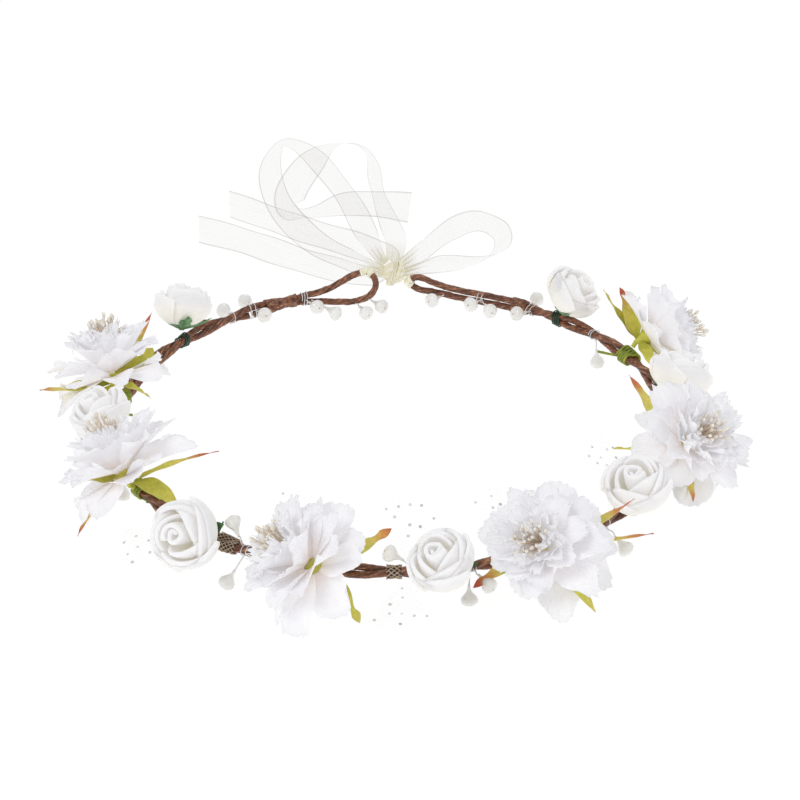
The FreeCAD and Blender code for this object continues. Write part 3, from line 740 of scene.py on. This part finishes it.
def make_coils(green_wire, green_tape):
    """The wires that tie the roses on, and the taped stems of the silk flowers."""
    rng = random.Random(5)
    wires, tapes = Patches(), Patches()
    for azimuth, *_ in ROSES.values():
        line = wound(azimuth, rng, length=3.4, turns=3.6, clearance=0.3, along=(-1, 1), inward=0.9,
                     up=(0.2, 1.0), reach=6.5, points=6)
        tube(wires, line, ROSE_WIRE_R, around=8)
    wires.make("rose_tie_wires", green_wire, "ring", "dark_green_wire", ["rose_binding_wires"])
    for azimuth, *_ in FLOWERS.values():
        line = wound(azimuth, rng, length=6.5, turns=4.6, clearance=0.46, along=(-0.5, 0.9), inward=1.0,
                     up=(0.1, 0.5), reach=7.5, points=8)
        s, angle = lengths_along(line)[:, None], angles_round(10)[None, :]
        tape_edge = 0.1 * ((s / 2.6 - angle / (2 * math.pi)) % 1.0)
        tube(tapes, line, STEM_TAPE_R + tape_edge, around=10)
    tapes.make("flower_stem_windings", green_tape, "ring", "green_tape", ["flower_stem_coils"])


# ---- foam roses ---------------------------------------------------------------------------

ROSE_BASE = 2.2
FOAM = 1.35              # thickness of a foam petal
ROSE_LAYERS = [          # petals, belly radius, foot radius, top height, half angle, closing, roll of the rim
    (4, 10.4, 3.2, 13.4, 1.08, 0.7, 0.5),
    (4, 8.9, 3.0, 15.4, 1.05, 1.1, 0.5),
    (3, 6.6, 2.6, 17.0, 1.25, 1.4, 0.3),
]


def rose_petal(turn, belly_r, foot_r, top_z, half_angle, closing, roll, rng, rows=14, cols=17):
    """A foam petal: a bowl-shaped shell round the rose's axis, with a rounded top and a rolled rim.
    One side edge stands further out than the other, so that petals overlap in a spiral."""
    v = np.linspace(0, 1, rows)[:, None]
    u = np.linspace(-1, 1, cols)[None, :]
    drop = (top_z - ROSE_BASE) * (0.26 + 0.16 * rng.random())
    top = top_z - drop * np.abs(u - 0.15 * rng.uniform(-1, 1)) ** 2.2
    z = ROSE_BASE + (top - ROSE_BASE) * v
    height = (z - ROSE_BASE) / (top_z - ROSE_BASE)
    belly = np.sin(np.clip(height * 1.5, 0, 1) * math.pi / 2) ** 0.6
    r = foot_r + (belly_r - foot_r) * belly - closing * 6 * np.clip(height - 0.6, 0, 1) ** 2
    r = r + roll * 9 * np.clip(v - 0.80, 0, 1) ** 1.4 + 1.05 * u * belly
    angle = turn + u * half_angle * (0.75 + 0.25 * belly)
    # The second value is painted crevice shade: 1 at the petal's foot, falling to 0 at its top.
    return revolved(r, angle, z), 1 - np.clip(height, 0, 1) ** 2 + 0 * r


def rose_bud(rng, rows=12, cols=56):
    """The rolled strip in the middle of a foam rose."""
    v = np.linspace(0, 1, rows)[:, None]
    t = np.linspace(0, 1, cols)[None, :]
    corner = 1 + 0.22 * np.cos(3 * 2 * math.pi * 1.55 * t) * (1 - t)
    r = (0.9 + 2.7 * t) * (0.72 + 0.40 * np.sin(v * 2.4)) * corner
    z = ROSE_BASE + 3 + (12.6 - 1.6 * (1 - t)) * v
    angle = 2 * math.pi * 1.55 * t + rng.uniform(0, 6)
    # The second value is painted crevice shade, strongest at the bud's foot.
    return revolved(r, angle, z), 1 - v * 0.8 + 0 * r


def foam_shell(piece, size):
    """Gives foam petals their thickness and round edges."""
    thick = piece.modifiers.new("thickness", "SOLIDIFY")
    thick.thickness = FOAM * size * MM
    thick.offset = -0.2
    soft = piece.modifiers.new("round", "SUBSURF")
    soft.levels = soft.render_levels = 1


def make_rose(name, spec, index, foam):
    azimuth, out, up, axis, size = spec
    foot, axes = head_place(azimuth, out, up, axis)
    rng = random.Random(100 + index)
    petals, bud = Patches(), Patches()
    for count, belly_r, foot_r, top_z, half_angle, closing, roll in ROSE_LAYERS:
        start = rng.uniform(0, 6)
        for k in range(count):
            turn = start + 2 * math.pi * (k + rng.uniform(-0.08, 0.08)) / count
            belly, top = belly_r * rng.uniform(0.97, 1.03), top_z + rng.uniform(-0.8, 0.4)
            rim = roll * rng.uniform(0.6, 1.4)
            grid, deep = rose_petal(turn, belly, foot_r, top, half_angle, closing, rim, rng)
            petals.add(foot + grid @ axes * size, deep=deep)
    grid, deep = rose_bud(rng)
    bud.add(foot + grid @ axes * size, deep=deep)
    made = [petals.make(f"{name}_foam_petals", foam, "ring", "foam", [f"{name}_petals"]),
            bud.make(f"{name}_rolled_bud", foam, "ring", "foam", [f"{name}_bud"])]
    for piece in made:
        foam_shell(piece, size)


def leaf(patches, foot, axes, turn, length, width, start, lift, curl, rng, twist=0.0, cup=0.4, bend=0.0,
         paddle=0.0, red=1.0, rows=24, cols=7):
    """A pointed leaf from (radius, height) start, rising at lift degrees at its foot and curl at its tip.
    Returns its flat area."""
    v = np.linspace(0, 1, rows)
    elevation = np.radians(lift + (curl - lift) * v ** 1.3)
    steps = np.diff(v, prepend=0) * length
    r, z = start[0] + np.cumsum(np.cos(elevation) * steps), start[1] + np.cumsum(np.sin(elevation) * steps)
    centre = np.stack((r, bend * length * v ** 2, z), -1)
    normal = np.stack((-np.sin(elevation), 0 * v, np.cos(elevation)), -1)
    blade = np.sin(math.pi * np.clip(v / (1 - 0.22 * paddle), 0, 1) ** 0.85) ** 1.1
    tip = paddle * 0.40 * np.exp(-((v - 0.88) / 0.09) ** 2)
    half = width / 2 * (0.16 + 0.84 * blade + tip) * np.sqrt(1 - v ** 12)
    turnover = twist * v ** 2.0
    sideways = np.array((0, 1.0, 0))
    lateral = sideways * np.cos(turnover)[:, None] + normal * np.sin(turnover)[:, None]
    up = normal * np.cos(turnover)[:, None] - sideways * np.sin(turnover)[:, None]
    u = np.linspace(-1, 1, cols)
    crimp = 0.25 * np.sin(v * 19 + rng.uniform(0, 6))[:, None] * u[None, :]
    rise = cup * half[:, None] * u ** 2 + crimp
    grid = (centre[:, None] + lateral[:, None] * (half[:, None] * u)[:, :, None]
            + up[:, None] * rise[:, :, None])
    uv = np.stack(np.broadcast_arrays(u[None, :] * width / 2, (v * length)[:, None]), -1)
    patches.add(on_table(foot + grid @ spin(turn) @ axes), along=red * v[:, None] + 0 * u, uv=uv)
    return float(np.sum(2 * half[1:] * np.diff(v) * length))


def make_rose_calyxes(material):
    """A green cup under each rose, with five sepals up its side. Some of them stand off."""
    patches = Patches()
    for index, (azimuth, out, up, axis, size) in enumerate(ROSES.values()):
        rng = random.Random(300 + index)
        foot, axes = head_place(azimuth, out, up, axis)
        turned(patches, [(0, 0), (0.9, 0), (1.2, 0.7), (2.2, 1.4), (3.0, 2.2), (0, 2.6)], foot, axes)
        for k in range(5):
            spread = rng.choice((0, 0, 24))
            turn = 2 * math.pi * k / 5 + rng.uniform(-0.1, 0.1)
            lift, curl = rng.uniform(18, 24) - spread / 2, rng.uniform(64, 84) - spread
            leaf(patches, foot, axes, turn, 11.5 * size, 5.0, (1.0, 0.4), lift, curl, rng, twist=0.15,
                 cup=0.5, rows=14)
    patches.make("rose_green_calyxes", material, "ring", "green_plastic", ["rose_calyxes"])


# ---- silk flowers -------------------------------------------------------------------------

PETAL_LAYERS = {         # petals, length, width, start, lift, curl, cup, crumple, teeth, lean, droop
    "outer_petals": [
        (9, 21.5, 14.5, (2.0, 4.6), 4, -6, 0.36, 0.6, 0.035, 0.0, 24),
        (8, 22.0, 13.5, (2.0, 6.2), 28, 12, 0.45, 0.8, 0.06, 0.3, 10),
    ],
    "inner_petals": [
        (8, 21.0, 12.5, (1.8, 7.2), 46, 30, 0.50, 0.9, 0.08, 0.75, 0),
        (9, 19.5, 10.5, (1.6, 8.0), 60, 46, 0.55, 1.2, 0.12, 1.0, 0),
        (9, 17.0, 8.5, (1.4, 9.0), 74, 64, 0.60, 1.3, 0.14, 1.0, 0),
    ],
}


def silk_petal(rng, length, width, start, lift, curl, cup, crumple, teeth, rows=20, cols=21):
    """A petal of embossed cloth: narrow at its foot, widest past its middle, with a toothed tip.
    Returns its points, their places on the flat cloth, and a value that falls from foot to tip."""
    v = np.linspace(0, 1, rows)[:, None]
    u = np.linspace(-1, 1, cols)[None, :]
    fringe = np.array([rng.random() for _ in range(cols)])[None, :]
    jag = teeth * (np.abs(((u * 2.6 + rng.uniform(0, 1)) % 1.0) - 0.5) * 2 + 0.8 * fringe)
    point = 0.06 + 0.30 * rng.random()
    reach = v * (1 - (point * np.abs(u) ** 1.7 + jag) * v ** 3)
    half = width / 2 * (0.20 + 0.80 * np.sin(math.pi * 0.70 * v ** 0.85) ** 1.15)
    fine = np.linspace(0, 1, 60)
    elevation = np.radians(lift + (curl - lift) * fine ** 1.4)
    r = start[0] + length * np.cumsum(np.cos(elevation)) / 60
    z = start[1] + length * np.cumsum(np.sin(elevation)) / 60
    at = np.clip(reach, 0, 1)
    rise = np.interp(at, fine, elevation)
    twist = rng.uniform(-0.45, 0.45) * v ** 1.5
    folds = (np.sin(u * rng.uniform(3.5, 6.0) + rng.uniform(0, 6)) * 0.55
             + np.sin(u * rng.uniform(8, 12) + rng.uniform(0, 6) + v * 2) * 0.28)
    ruffle = np.sin(v * rng.uniform(5, 9) + np.sign(u) * 1.3 + rng.uniform(0, 6)) * u ** 2
    height = cup * half * u ** 2 * (0.4 + 0.8 * v) + crumple * (folds * v + 0.9 * ruffle * v ** 1.5)
    across = half * u * (1 - 0.18 * abs(cup) * u ** 2)
    side = across * np.cos(twist) - height * np.sin(twist)
    lift_off = across * np.sin(twist) + height * np.cos(twist)
    x = np.interp(at, fine, r) - np.sin(rise) * lift_off
    zz = np.interp(at, fine, z) + np.cos(rise) * lift_off
    grid = np.stack((x, side + 0 * x, zz), -1)
    flat = np.stack(np.broadcast_arrays(u * half, reach * length), -1)
    return grid, flat, (1 - v) + 0 * u


def flat_area(flat):
    """The area of a grid of places on flat cloth."""
    d1, d2 = flat[1:, 1:] - flat[:-1, :-1], flat[1:, :-1] - flat[:-1, 1:]
    return float(np.abs(d1[..., 0] * d2[..., 1] - d1[..., 1] * d2[..., 0]).sum() / 2)


# Which way a flower's outer petals are longer, and by how much.
LONGER_TOWARDS = {"flower_left": (0.17, 0.03, 0.0), "flower_front_right": (0.18, -0.10, -0.03)}
NO_WAY = (0.0, 0.0, 0.0)
VINE_CLEAR_OUT = 6.0     # petals over the vine droop least when the foot is this far out
DIP_LIFT_DEG = 200       # how much a petal that would dip into the vine is raised


def petal_layer(rng, layer, foot, axes, side, out, longer):
    """A whorl of petals. Returns its patches and the area of its cloth.
    The outer petals droop where they are clear of the vine, and less over it."""
    count, length, width, start, lift, curl, cup, crumple, teeth, _, droop = layer
    first, area, patches = rng.uniform(0, 6), 0.0, Patches()
    for k in range(count):
        turn = first + 2 * math.pi * (k + rng.uniform(-0.16, 0.16)) / count
        ray = axes[0] * math.cos(turn) + axes[1] * math.sin(turn)
        outward = ray @ side
        inward = max(0.0, -outward)
        fall = droop * (abs(outward) ** 1.5 - 0.9 * inward * min(1.0, out / VINE_CLEAR_OUT))
        if droop:
            fall -= DIP_LIFT_DEG * max(0.0, -ray[2]) * inward
        reach = length * (0.86 + 0.14 * abs(outward)) * (1 + max(0.0, ray @ longer))
        size = reach * rng.uniform(0.88, 1.08), width * rng.uniform(0.9, 1.1)
        slopes = lift - 0.6 * fall + rng.uniform(-9, 9), curl - fall + rng.uniform(-18, 18)
        grid, flat, heart = silk_petal(rng, *size, start, *slopes, cup, crumple, teeth)
        patches.add(on_table(foot + grid @ spin(turn) @ axes), uv=flat, heart=heart)
        area += flat_area(flat)
    return patches, area


def make_flower(name, spec, index, mats):
    azimuth, out, up, axis, heart_axis = spec
    foot, side = ring_point(azimuth, out, up), ring_axes(azimuth)[1]
    own, heart_own = ring_direction(azimuth, axis), ring_direction(azimuth, heart_axis)
    rng = random.Random(500 + index)
    body = f"{name}_head"
    make_calyx(name, azimuth, foot, own, rng, body, mats)
    for part, layers in PETAL_LAYERS.items():
        longer = np.array(LONGER_TOWARDS.get(name, NO_WAY) if part == "outer_petals" else NO_WAY)
        for row, layer in enumerate(layers, 1):
            count, length, width, *_, lean, _ = layer
            axes = frame_of(heart_own * lean + own * (1 - lean), side)
            patches, area = petal_layer(rng, layer, foot, axes, side, out, longer)
            piece = patches.make(f"{name}_silk_{part}_{row}", mats["silk"], body, "silk", [f"{name}_{part}"])
    make_stamens(name, foot, frame_of(heart_own, side), rng, body, mats)


STAMENS = 22
STAMEN_TIP = [(0, -1.0), (0.38, -0.8), (0.62, 0), (0.52, 0.8), (0.25, 1.2), (0, 1.3)]


def make_stamens(name, foot, axes, rng, body, mats):
    """Threads that fan out from a flower's heart, each with a bead at its tip."""
    threads, beads = Patches(), Patches()
    for k in range(STAMENS):
        turn = k * 2.4 + rng.uniform(-0.3, 0.3)
        spread, tall = 0.8 + 4.6 * math.sqrt(k / STAMENS), rng.uniform(21.5, 26.5) - 0.10 * k
        bow = np.array((rng.uniform(-1.2, 1.2), rng.uniform(-1.2, 1.2), 0))
        top = np.array((spread * math.cos(turn), spread * math.sin(turn), tall)) + bow
        low = np.array((0.6 * math.cos(turn), 0.6 * math.sin(turn), 8.0))
        middle = (low + top) / 2 - 0.7 * bow + np.array((-0.5 * math.cos(turn), -0.5 * math.sin(turn), 0.8))
        line = through([low, middle, top], 6)
        tube(threads, foot + line @ axes, 0.19, around=6, along=np.linspace(0, 1, len(line))[:, None])
        lean = frame_of((top - middle) @ axes, (0.3, 0.2, 0.9))
        turned(beads, STAMEN_TIP, foot + top @ axes, lean, around=10)
    threads.make(f"{name}_stamen_threads", mats["stamen"], body, "stamen", [f"{name}_stamens"])
    beads.make(f"{name}_stamen_tips", mats["bead"], body, "stamen")


def make_calyx(name, azimuth, foot, own, rng, body, mats):
    """The cup and stem under a silk flower, and its five sepals."""
    cup, leaves = Patches(), Patches()
    turned(cup, [(0, -0.2), (0.9, -0.2), (1.0, 1.0), (1.5, 2.4), (2.8, 4.2), (3.4, 5.2), (0, 5.8)], foot,
           frame_of(own, ring_axes(azimuth)[1]), along=0.15)
    centre = ring_point(azimuth)
    along = ring_axes(azimuth)[0]
    spoke = foot - centre - along * np.dot(foot - centre, along)
    start = centre + unit(spoke) * 3.95
    tube(cup, np.linspace(start, foot + own * 0.4, 6), 0.85, around=10, along=np.full((6, 1), 0.1))
    cup.make(f"{name}_calyx_cup", mats["sepal"], body, "sepal_cloth", [f"{name}_calyx"])
    area = 0.0
    for heading, length, width, lift, curl, red in SEPALS[name]:
        twist = rng.uniform(0.2, 1.0) * rng.choice((-1, 1))
        bend, paddle = rng.uniform(-0.12, 0.12), rng.uniform(0.2, 1.0)
        area += leaf(leaves, foot + own * 1.8, np.eye(3), math.radians(heading), length, width, (1.2, 0.0),
                     lift, curl, rng, twist=twist, bend=bend, paddle=paddle, red=red)
    piece = leaves.make(f"{name}_sepals", mats["sepal"], body, "sepal_cloth", [f"{name}_calyx"])


# ---- berries and net ----------------------------------------------------------------------

BERRY_WIRE_R = 0.24
BERRY_PROFILE = [        # (radius, share of the berry's length)
    (0, 0), (0.40, 0.0), (0.50, 0.12), (0.72, 0.25), (1.2, 0.38), (1.85, 0.50), (2.5, 0.62), (2.75, 0.73),
    (2.6, 0.84), (2.0, 0.92), (1.2, 0.97), (0.5, 0.988), (0.28, 1.0), (0, 1.0),
]


def make_berries(pearl, thread):
    """Drop-shaped berries, each on a wire that is twisted round the vine."""
    wires = Patches()
    rng = random.Random(11)
    radius, share = np.hsplit(np.array(BERRY_PROFILE), 2)
    height = share * BERRY_LENGTH
    profile, angle = np.hstack((radius, height)), angles_round(20)[None, :]
    for node, berries in BERRIES.items():
        patches = Patches()
        for azimuth, direction, wire_length, *shift in berries:
            out, up = shift or (0.0, 0.0)
            axis = ring_direction(azimuth, direction)
            bare = BERRY_EYELET_FOOT_R if shift else BERRY_FOOT_R
            foot = ring_point(azimuth, out, up) + axis * bare
            if wire_length is None:
                wire_length = (foot[2] - BERRY_REST) / -axis[2] - BERRY_LENGTH
            place = foot + axis * wire_length
            uneven = (1 + 0.035 * np.sin(angle * 2 + rng.uniform(0, 6) + height)
                      + 0.02 * np.sin(angle * 5 + height * 2))
            turned(patches, profile, place, frame_of(axis, (0.3, 0.2, 0.9)), around=20, wobble=uneven,
                   tip=share)
            root = ring_point(azimuth, out, up) + axis * (bare - 1.4)
            line = through([root, foot, (foot + place) / 2 + rng.uniform(-0.3, 0.3), place + axis * 0.3], 6)
            tube(wires, line, BERRY_WIRE_R, around=7)
            if not shift:
                tube(wires, helix(azimuth + 0.4, 1.2, 1.2, 0.12, rng.uniform(0, 6)), 0.16, around=6)
        patches.make(f"{node}_pearls", pearl, "ring", "pearl", [node])
    wires.make("berry_stems", thread, "ring", "white_wire", ["berry_wires"])


DOT_SPACING = 4.2
DOTS_MISSING = 0.25      # the share of the dots that have rubbed off
DOT_PROFILE = [(0, -0.1), (1, -0.05), (1, 0.05), (0, 0.1)]


def on_fan(r, a, centre, axes, waves, phase):
    """A point of a rippled fan, at a distance from the vine and an angle from the fan's middle."""
    ripple = 1.3 * np.sin(a / NET_FAN_HALF * waves + phase) * (r / NET_FAN_R)
    return centre + np.stack((r * np.sin(a), ripple + 0 * r, r * np.cos(a)), -1) @ axes


def make_net(net, dot):
    """Tufts of net with raised dots in staggered rows."""
    dots = Patches()
    for index, (azimuth, direction) in enumerate(NET_FANS):
        rng = random.Random(700 + index)
        axes = frame_of(ring_direction(azimuth, direction), ring_axes(azimuth)[0])
        fan = ring_point(azimuth), axes, rng.uniform(3, 5), rng.uniform(0, 6)
        r = np.linspace(NET_FAN_FOOT_R, NET_FAN_R, 14)[:, None]
        a = np.linspace(-NET_FAN_HALF, NET_FAN_HALF, 25)[None, :]
        patches = Patches()
        patches.add(on_fan(r + 0 * a, a + 0 * r, *fan))
        piece = patches.make(f"net_tuft_{index + 1}", net, "ring", "net", ["dotted_net"])
        frame = frame_of(axes[1], axes[0])
        for row, radius in enumerate(np.arange(NET_FAN_FOOT_R + 3, NET_FAN_R - 0.6, DOT_SPACING * 0.87)):
            for k in range(int(2 * NET_FAN_HALF * radius / DOT_SPACING)):
                angle = -NET_FAN_HALF + (k + 0.5 + 0.5 * (row % 2)) * DOT_SPACING / radius
                if angle > NET_FAN_HALF or rng.random() < DOTS_MISSING:
                    continue
                dot_r, dot_a = radius + rng.uniform(-0.6, 0.6), angle + rng.uniform(-0.03, 0.03)
                size = rng.uniform(0.36, 0.62)
                profile = [(r * size, h) for r, h in DOT_PROFILE]
                turned(dots, profile, on_fan(np.array(dot_r), np.array(dot_a), *fan), frame, around=8)
    dots.make("net_dots", dot, "ring", "net")


# ---- ribbon -------------------------------------------------------------------------------

PLEATS = 3


def ribbon(points, rng, step=8, cols=31):
    """A strip of sheer ribbon, pleated where it is gathered into the knot."""
    line = through([p for p, _ in points], step)
    across = through([w for _, w in points], step)
    tangents = unit(np.gradient(line, axis=0))
    side = unit(across - tangents * (across * tangents).sum(1, keepdims=True))
    face = np.cross(tangents, side)
    s = lengths_along(line)[:, None]
    flatness = np.clip(np.linalg.norm(line - KNOT, axis=1) / GATHER_REACH, 0, 1)[:, None]
    width = GATHERED_WIDTH + (RIBBON_WIDTH - GATHERED_WIDTH) * flatness
    u = np.linspace(-1, 1, cols)[None, :]
    pleat = np.sqrt(np.clip(RIBBON_WIDTH ** 2 - width ** 2, 0, None)) / (4 * PLEATS)
    ripple = 0.35 * np.sin(s * 0.21 + rng.uniform(0, 6) + 2.2 * u) * flatness * np.abs(u)
    bow = 0.6 * np.sin(s * 0.09 + rng.uniform(0, 6)) * (u ** 2 - 0.4) * flatness
    height = pleat * np.sin(math.pi * PLEATS * (u + 1)) + ripple + bow
    grid = line[:, None] + side[:, None] * (width / 2 * u)[:, :, None] + face[:, None] * height[:, :, None]
    uv = np.stack(np.broadcast_arrays(u * RIBBON_WIDTH / 2, s), -1)
    return grid, uv, np.clip(1.15 - 1.3 * flatness, 0, 1)


def make_bow(organza, gathered):
    """The loops and tails, the knot, and the hitches on the eyelets."""
    for index, (name, points) in enumerate(RIBBONS.items()):
        patches = Patches()
        grid, uv, gather = ribbon(points, random.Random(900 + index))
        patches.add(grid, uv=uv, gather=gather)
        body = name if name in ("long_tail", "short_tail") else "bow"
        piece = patches.make(f"{name}_ribbon", organza, body, "organza", [name])
    make_knot(gathered)
    make_hitches(gathered)


def make_knot(material):
    """A folded lump of ribbon, with three turns of it round the waist."""
    patches = Patches()
    x = np.linspace(-1, 1, 34)[:, None]
    angle = angles_round(72)[None, :]
    profile = KNOT_R * np.sqrt(np.clip(1 - np.abs(x) ** 3.2, 0, 1)) * (0.93 + 0.07 * np.cos(x * 5))
    folds = np.sin(angle * 7 + 2.6 * x + 0.8 * np.sin(angle * 2)) + 0.5 * np.sin(angle * 11 - 4 * x)
    r = profile * (1 + 0.075 * folds * (0.4 + 0.6 * np.abs(x)) + 0.05 * np.sin(angle + 1))
    grid = np.roll(revolved(r, angle, x * KNOT_LENGTH / 2), 1, axis=-1) + KNOT
    # fold follows the folds' bulge: painted light on crests, painted shade in hollows.
    patches.add(grid, closed=True, fold=np.clip(0.5 + 0.4 * folds, 0, 1))
    band = np.linspace(0, 2 * math.pi, 60)
    for shift, lean in ((-1.0, 0.5), (-0.2, 0.35), (0.7, 0.6)):
        loop = np.stack((shift + lean * 3 * np.sin(band), 4.1 * np.cos(band), 4.1 * np.sin(band)), -1)
        line = KNOT + loop
        # The turns round the waist get a fixed, middling painted shade.
        tube(patches, line, 0.6 + 0.12 * np.sin(band * 5 + shift), around=10, fold=0.35)
    patches.make("knot_folds", material, "bow", "organza", ["bow_knot"])


def make_hitches(material):
    """The ribbon's turns round the tips of the eyelets."""
    patches = Patches()
    for eyelet, tip in ((LEFT_EYELET, LEFT_TIP), (RIGHT_EYELET, RIGHT_TIP)):
        before, corner, after = (ring_point(*eyelet[i]) for i in (tip - 1, tip, tip + 1))
        line = smooth_path([(before + corner) / 2, corner, (corner + after) / 2], 0.25)
        s = lengths_along(line)
        angle = angles_round(20)[None, :]
        radius = 1.62 + 0.16 * np.sin(s * 3.4)[:, None] + 0.06 * np.sin(angle * 3 + s[:, None])
        # Painted light where the hitch bulges out, painted shade where it narrows.
        tube(patches, line, radius, around=20, fold=np.clip(0.6 + 0.5 * np.sin(s * 3.4), 0, 1)[:, None])
    patches.make("eyelet_hitches", material, "ring", "organza", ["ribbon_hitches"])


# ---- the carried-over CAD parts, stage, light and camera ----------------------------------

def finish_core_wires(nodes):
    """The strands' steel cores are shown as the CAD model has them."""
    s = Shader("steel_core", Roughness=0.35, Metallic=0.9)
    s.set("Base Color", s.mottle(600, 3, grey(0.25), grey(0.45)))
    for name in ("long_strand_core_wire", "short_strand_core_wire"):
        nodes[name].data.materials.clear()
        nodes[name].data.materials.append(s.material)


def make_stage():
    """A white table top, bright enough to pass for the backdrop."""
    mesh = bpy.data.meshes.new("floor")
    half = 4.0
    corners = [(-half, -half, 0), (half, -half, 0), (half, half, 0), (-half, half, 0)]
    mesh.from_pydata(corners, [], [(0, 1, 2, 3)])
    s = Shader("floor", Base_Color=grey(0.08), Roughness=0.9, Specular_IOR_Level=0.0,
               Emission_Color=grey(1.0), Emission_Strength=0.95)
    mesh.materials.append(s.material)
    placed("floor", mesh)


def area_light(name, place, target, size, watts):
    light = bpy.data.lights.new(name, "AREA")
    light.shape = "DISK"
    light.size = size
    light.energy = watts
    lamp = placed(name, light)
    lamp.location = place
    lamp.rotation_euler = (Vector(target) - Vector(place)).to_track_quat("-Z", "Y").to_euler()


CAMERA_TARGET = Vector((0.0022, 0.0144, 0.014))
CAMERA_ELEVATION_DEG = 30
CAMERA_DISTANCE = 1.1


def make_light_and_camera():
    scene = bpy.context.scene
    world = bpy.data.worlds.new("studio")
    world.use_nodes = True
    background = world.node_tree.nodes["Background"]
    background.inputs["Color"].default_value = (0.97, 0.98, 1.0, 1)
    background.inputs["Strength"].default_value = 0.63
    scene.world = world
    centre = (0, 0.02, 0.02)
    area_light("key", (-0.9, -1.1, 1.5), centre, 0.9, 9)
    area_light("fill", (1.3, -0.6, 1.0), centre, 1.1, 3)
    area_light("back", (0.2, 1.5, 1.2), centre, 1.0, 4)
    scene.view_settings.view_transform = "Standard"

    elevation = math.radians(CAMERA_ELEVATION_DEG)
    data = bpy.data.cameras.new("camera")
    data.lens = 140.7
    data.sensor_width = 36.0
    camera = placed("camera", data)
    backwards = Vector((0, -math.cos(elevation), math.sin(elevation)))
    camera.location = CAMERA_TARGET + backwards * CAMERA_DISTANCE
    camera.rotation_euler = (math.pi / 2 - elevation, 0, 0)
    scene.camera = camera


def main():
    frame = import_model()
    mats = {"silk": silk_material(), "stamen": stamen_material(), "bead": bead_material(),
            "sepal": sepal_material()}
    paper, foam, gathered = paper_material(), foam_material(), knot_material()
    make_vine(paper)
    make_bindings(paper)
    make_mesh_tape(mesh_tape_material())
    make_coils(green_material("dark_green_wire", (0.004, 0.03, 0.014), (0.012, 0.075, 0.04), 0.35),
               green_material("green_tape", (0.13, 0.19, 0.015), (0.40, 0.44, 0.05)))
    for index, (name, spec) in enumerate(ROSES.items()):
        make_rose(name, spec, index, foam)
    make_rose_calyxes(green_material("rose_calyx_green", (0.05, 0.15, 0.05), (0.16, 0.33, 0.13)))
    for index, (name, spec) in enumerate(FLOWERS.items()):
        make_flower(name, spec, index, mats)
    make_berries(pearl_material(), thread_material())
    make_net(net_material(), dot_material())
    make_bow(organza_material(), gathered)
    finish_core_wires(frame["nodes"])
    make_stage()
    make_light_and_camera()


main()
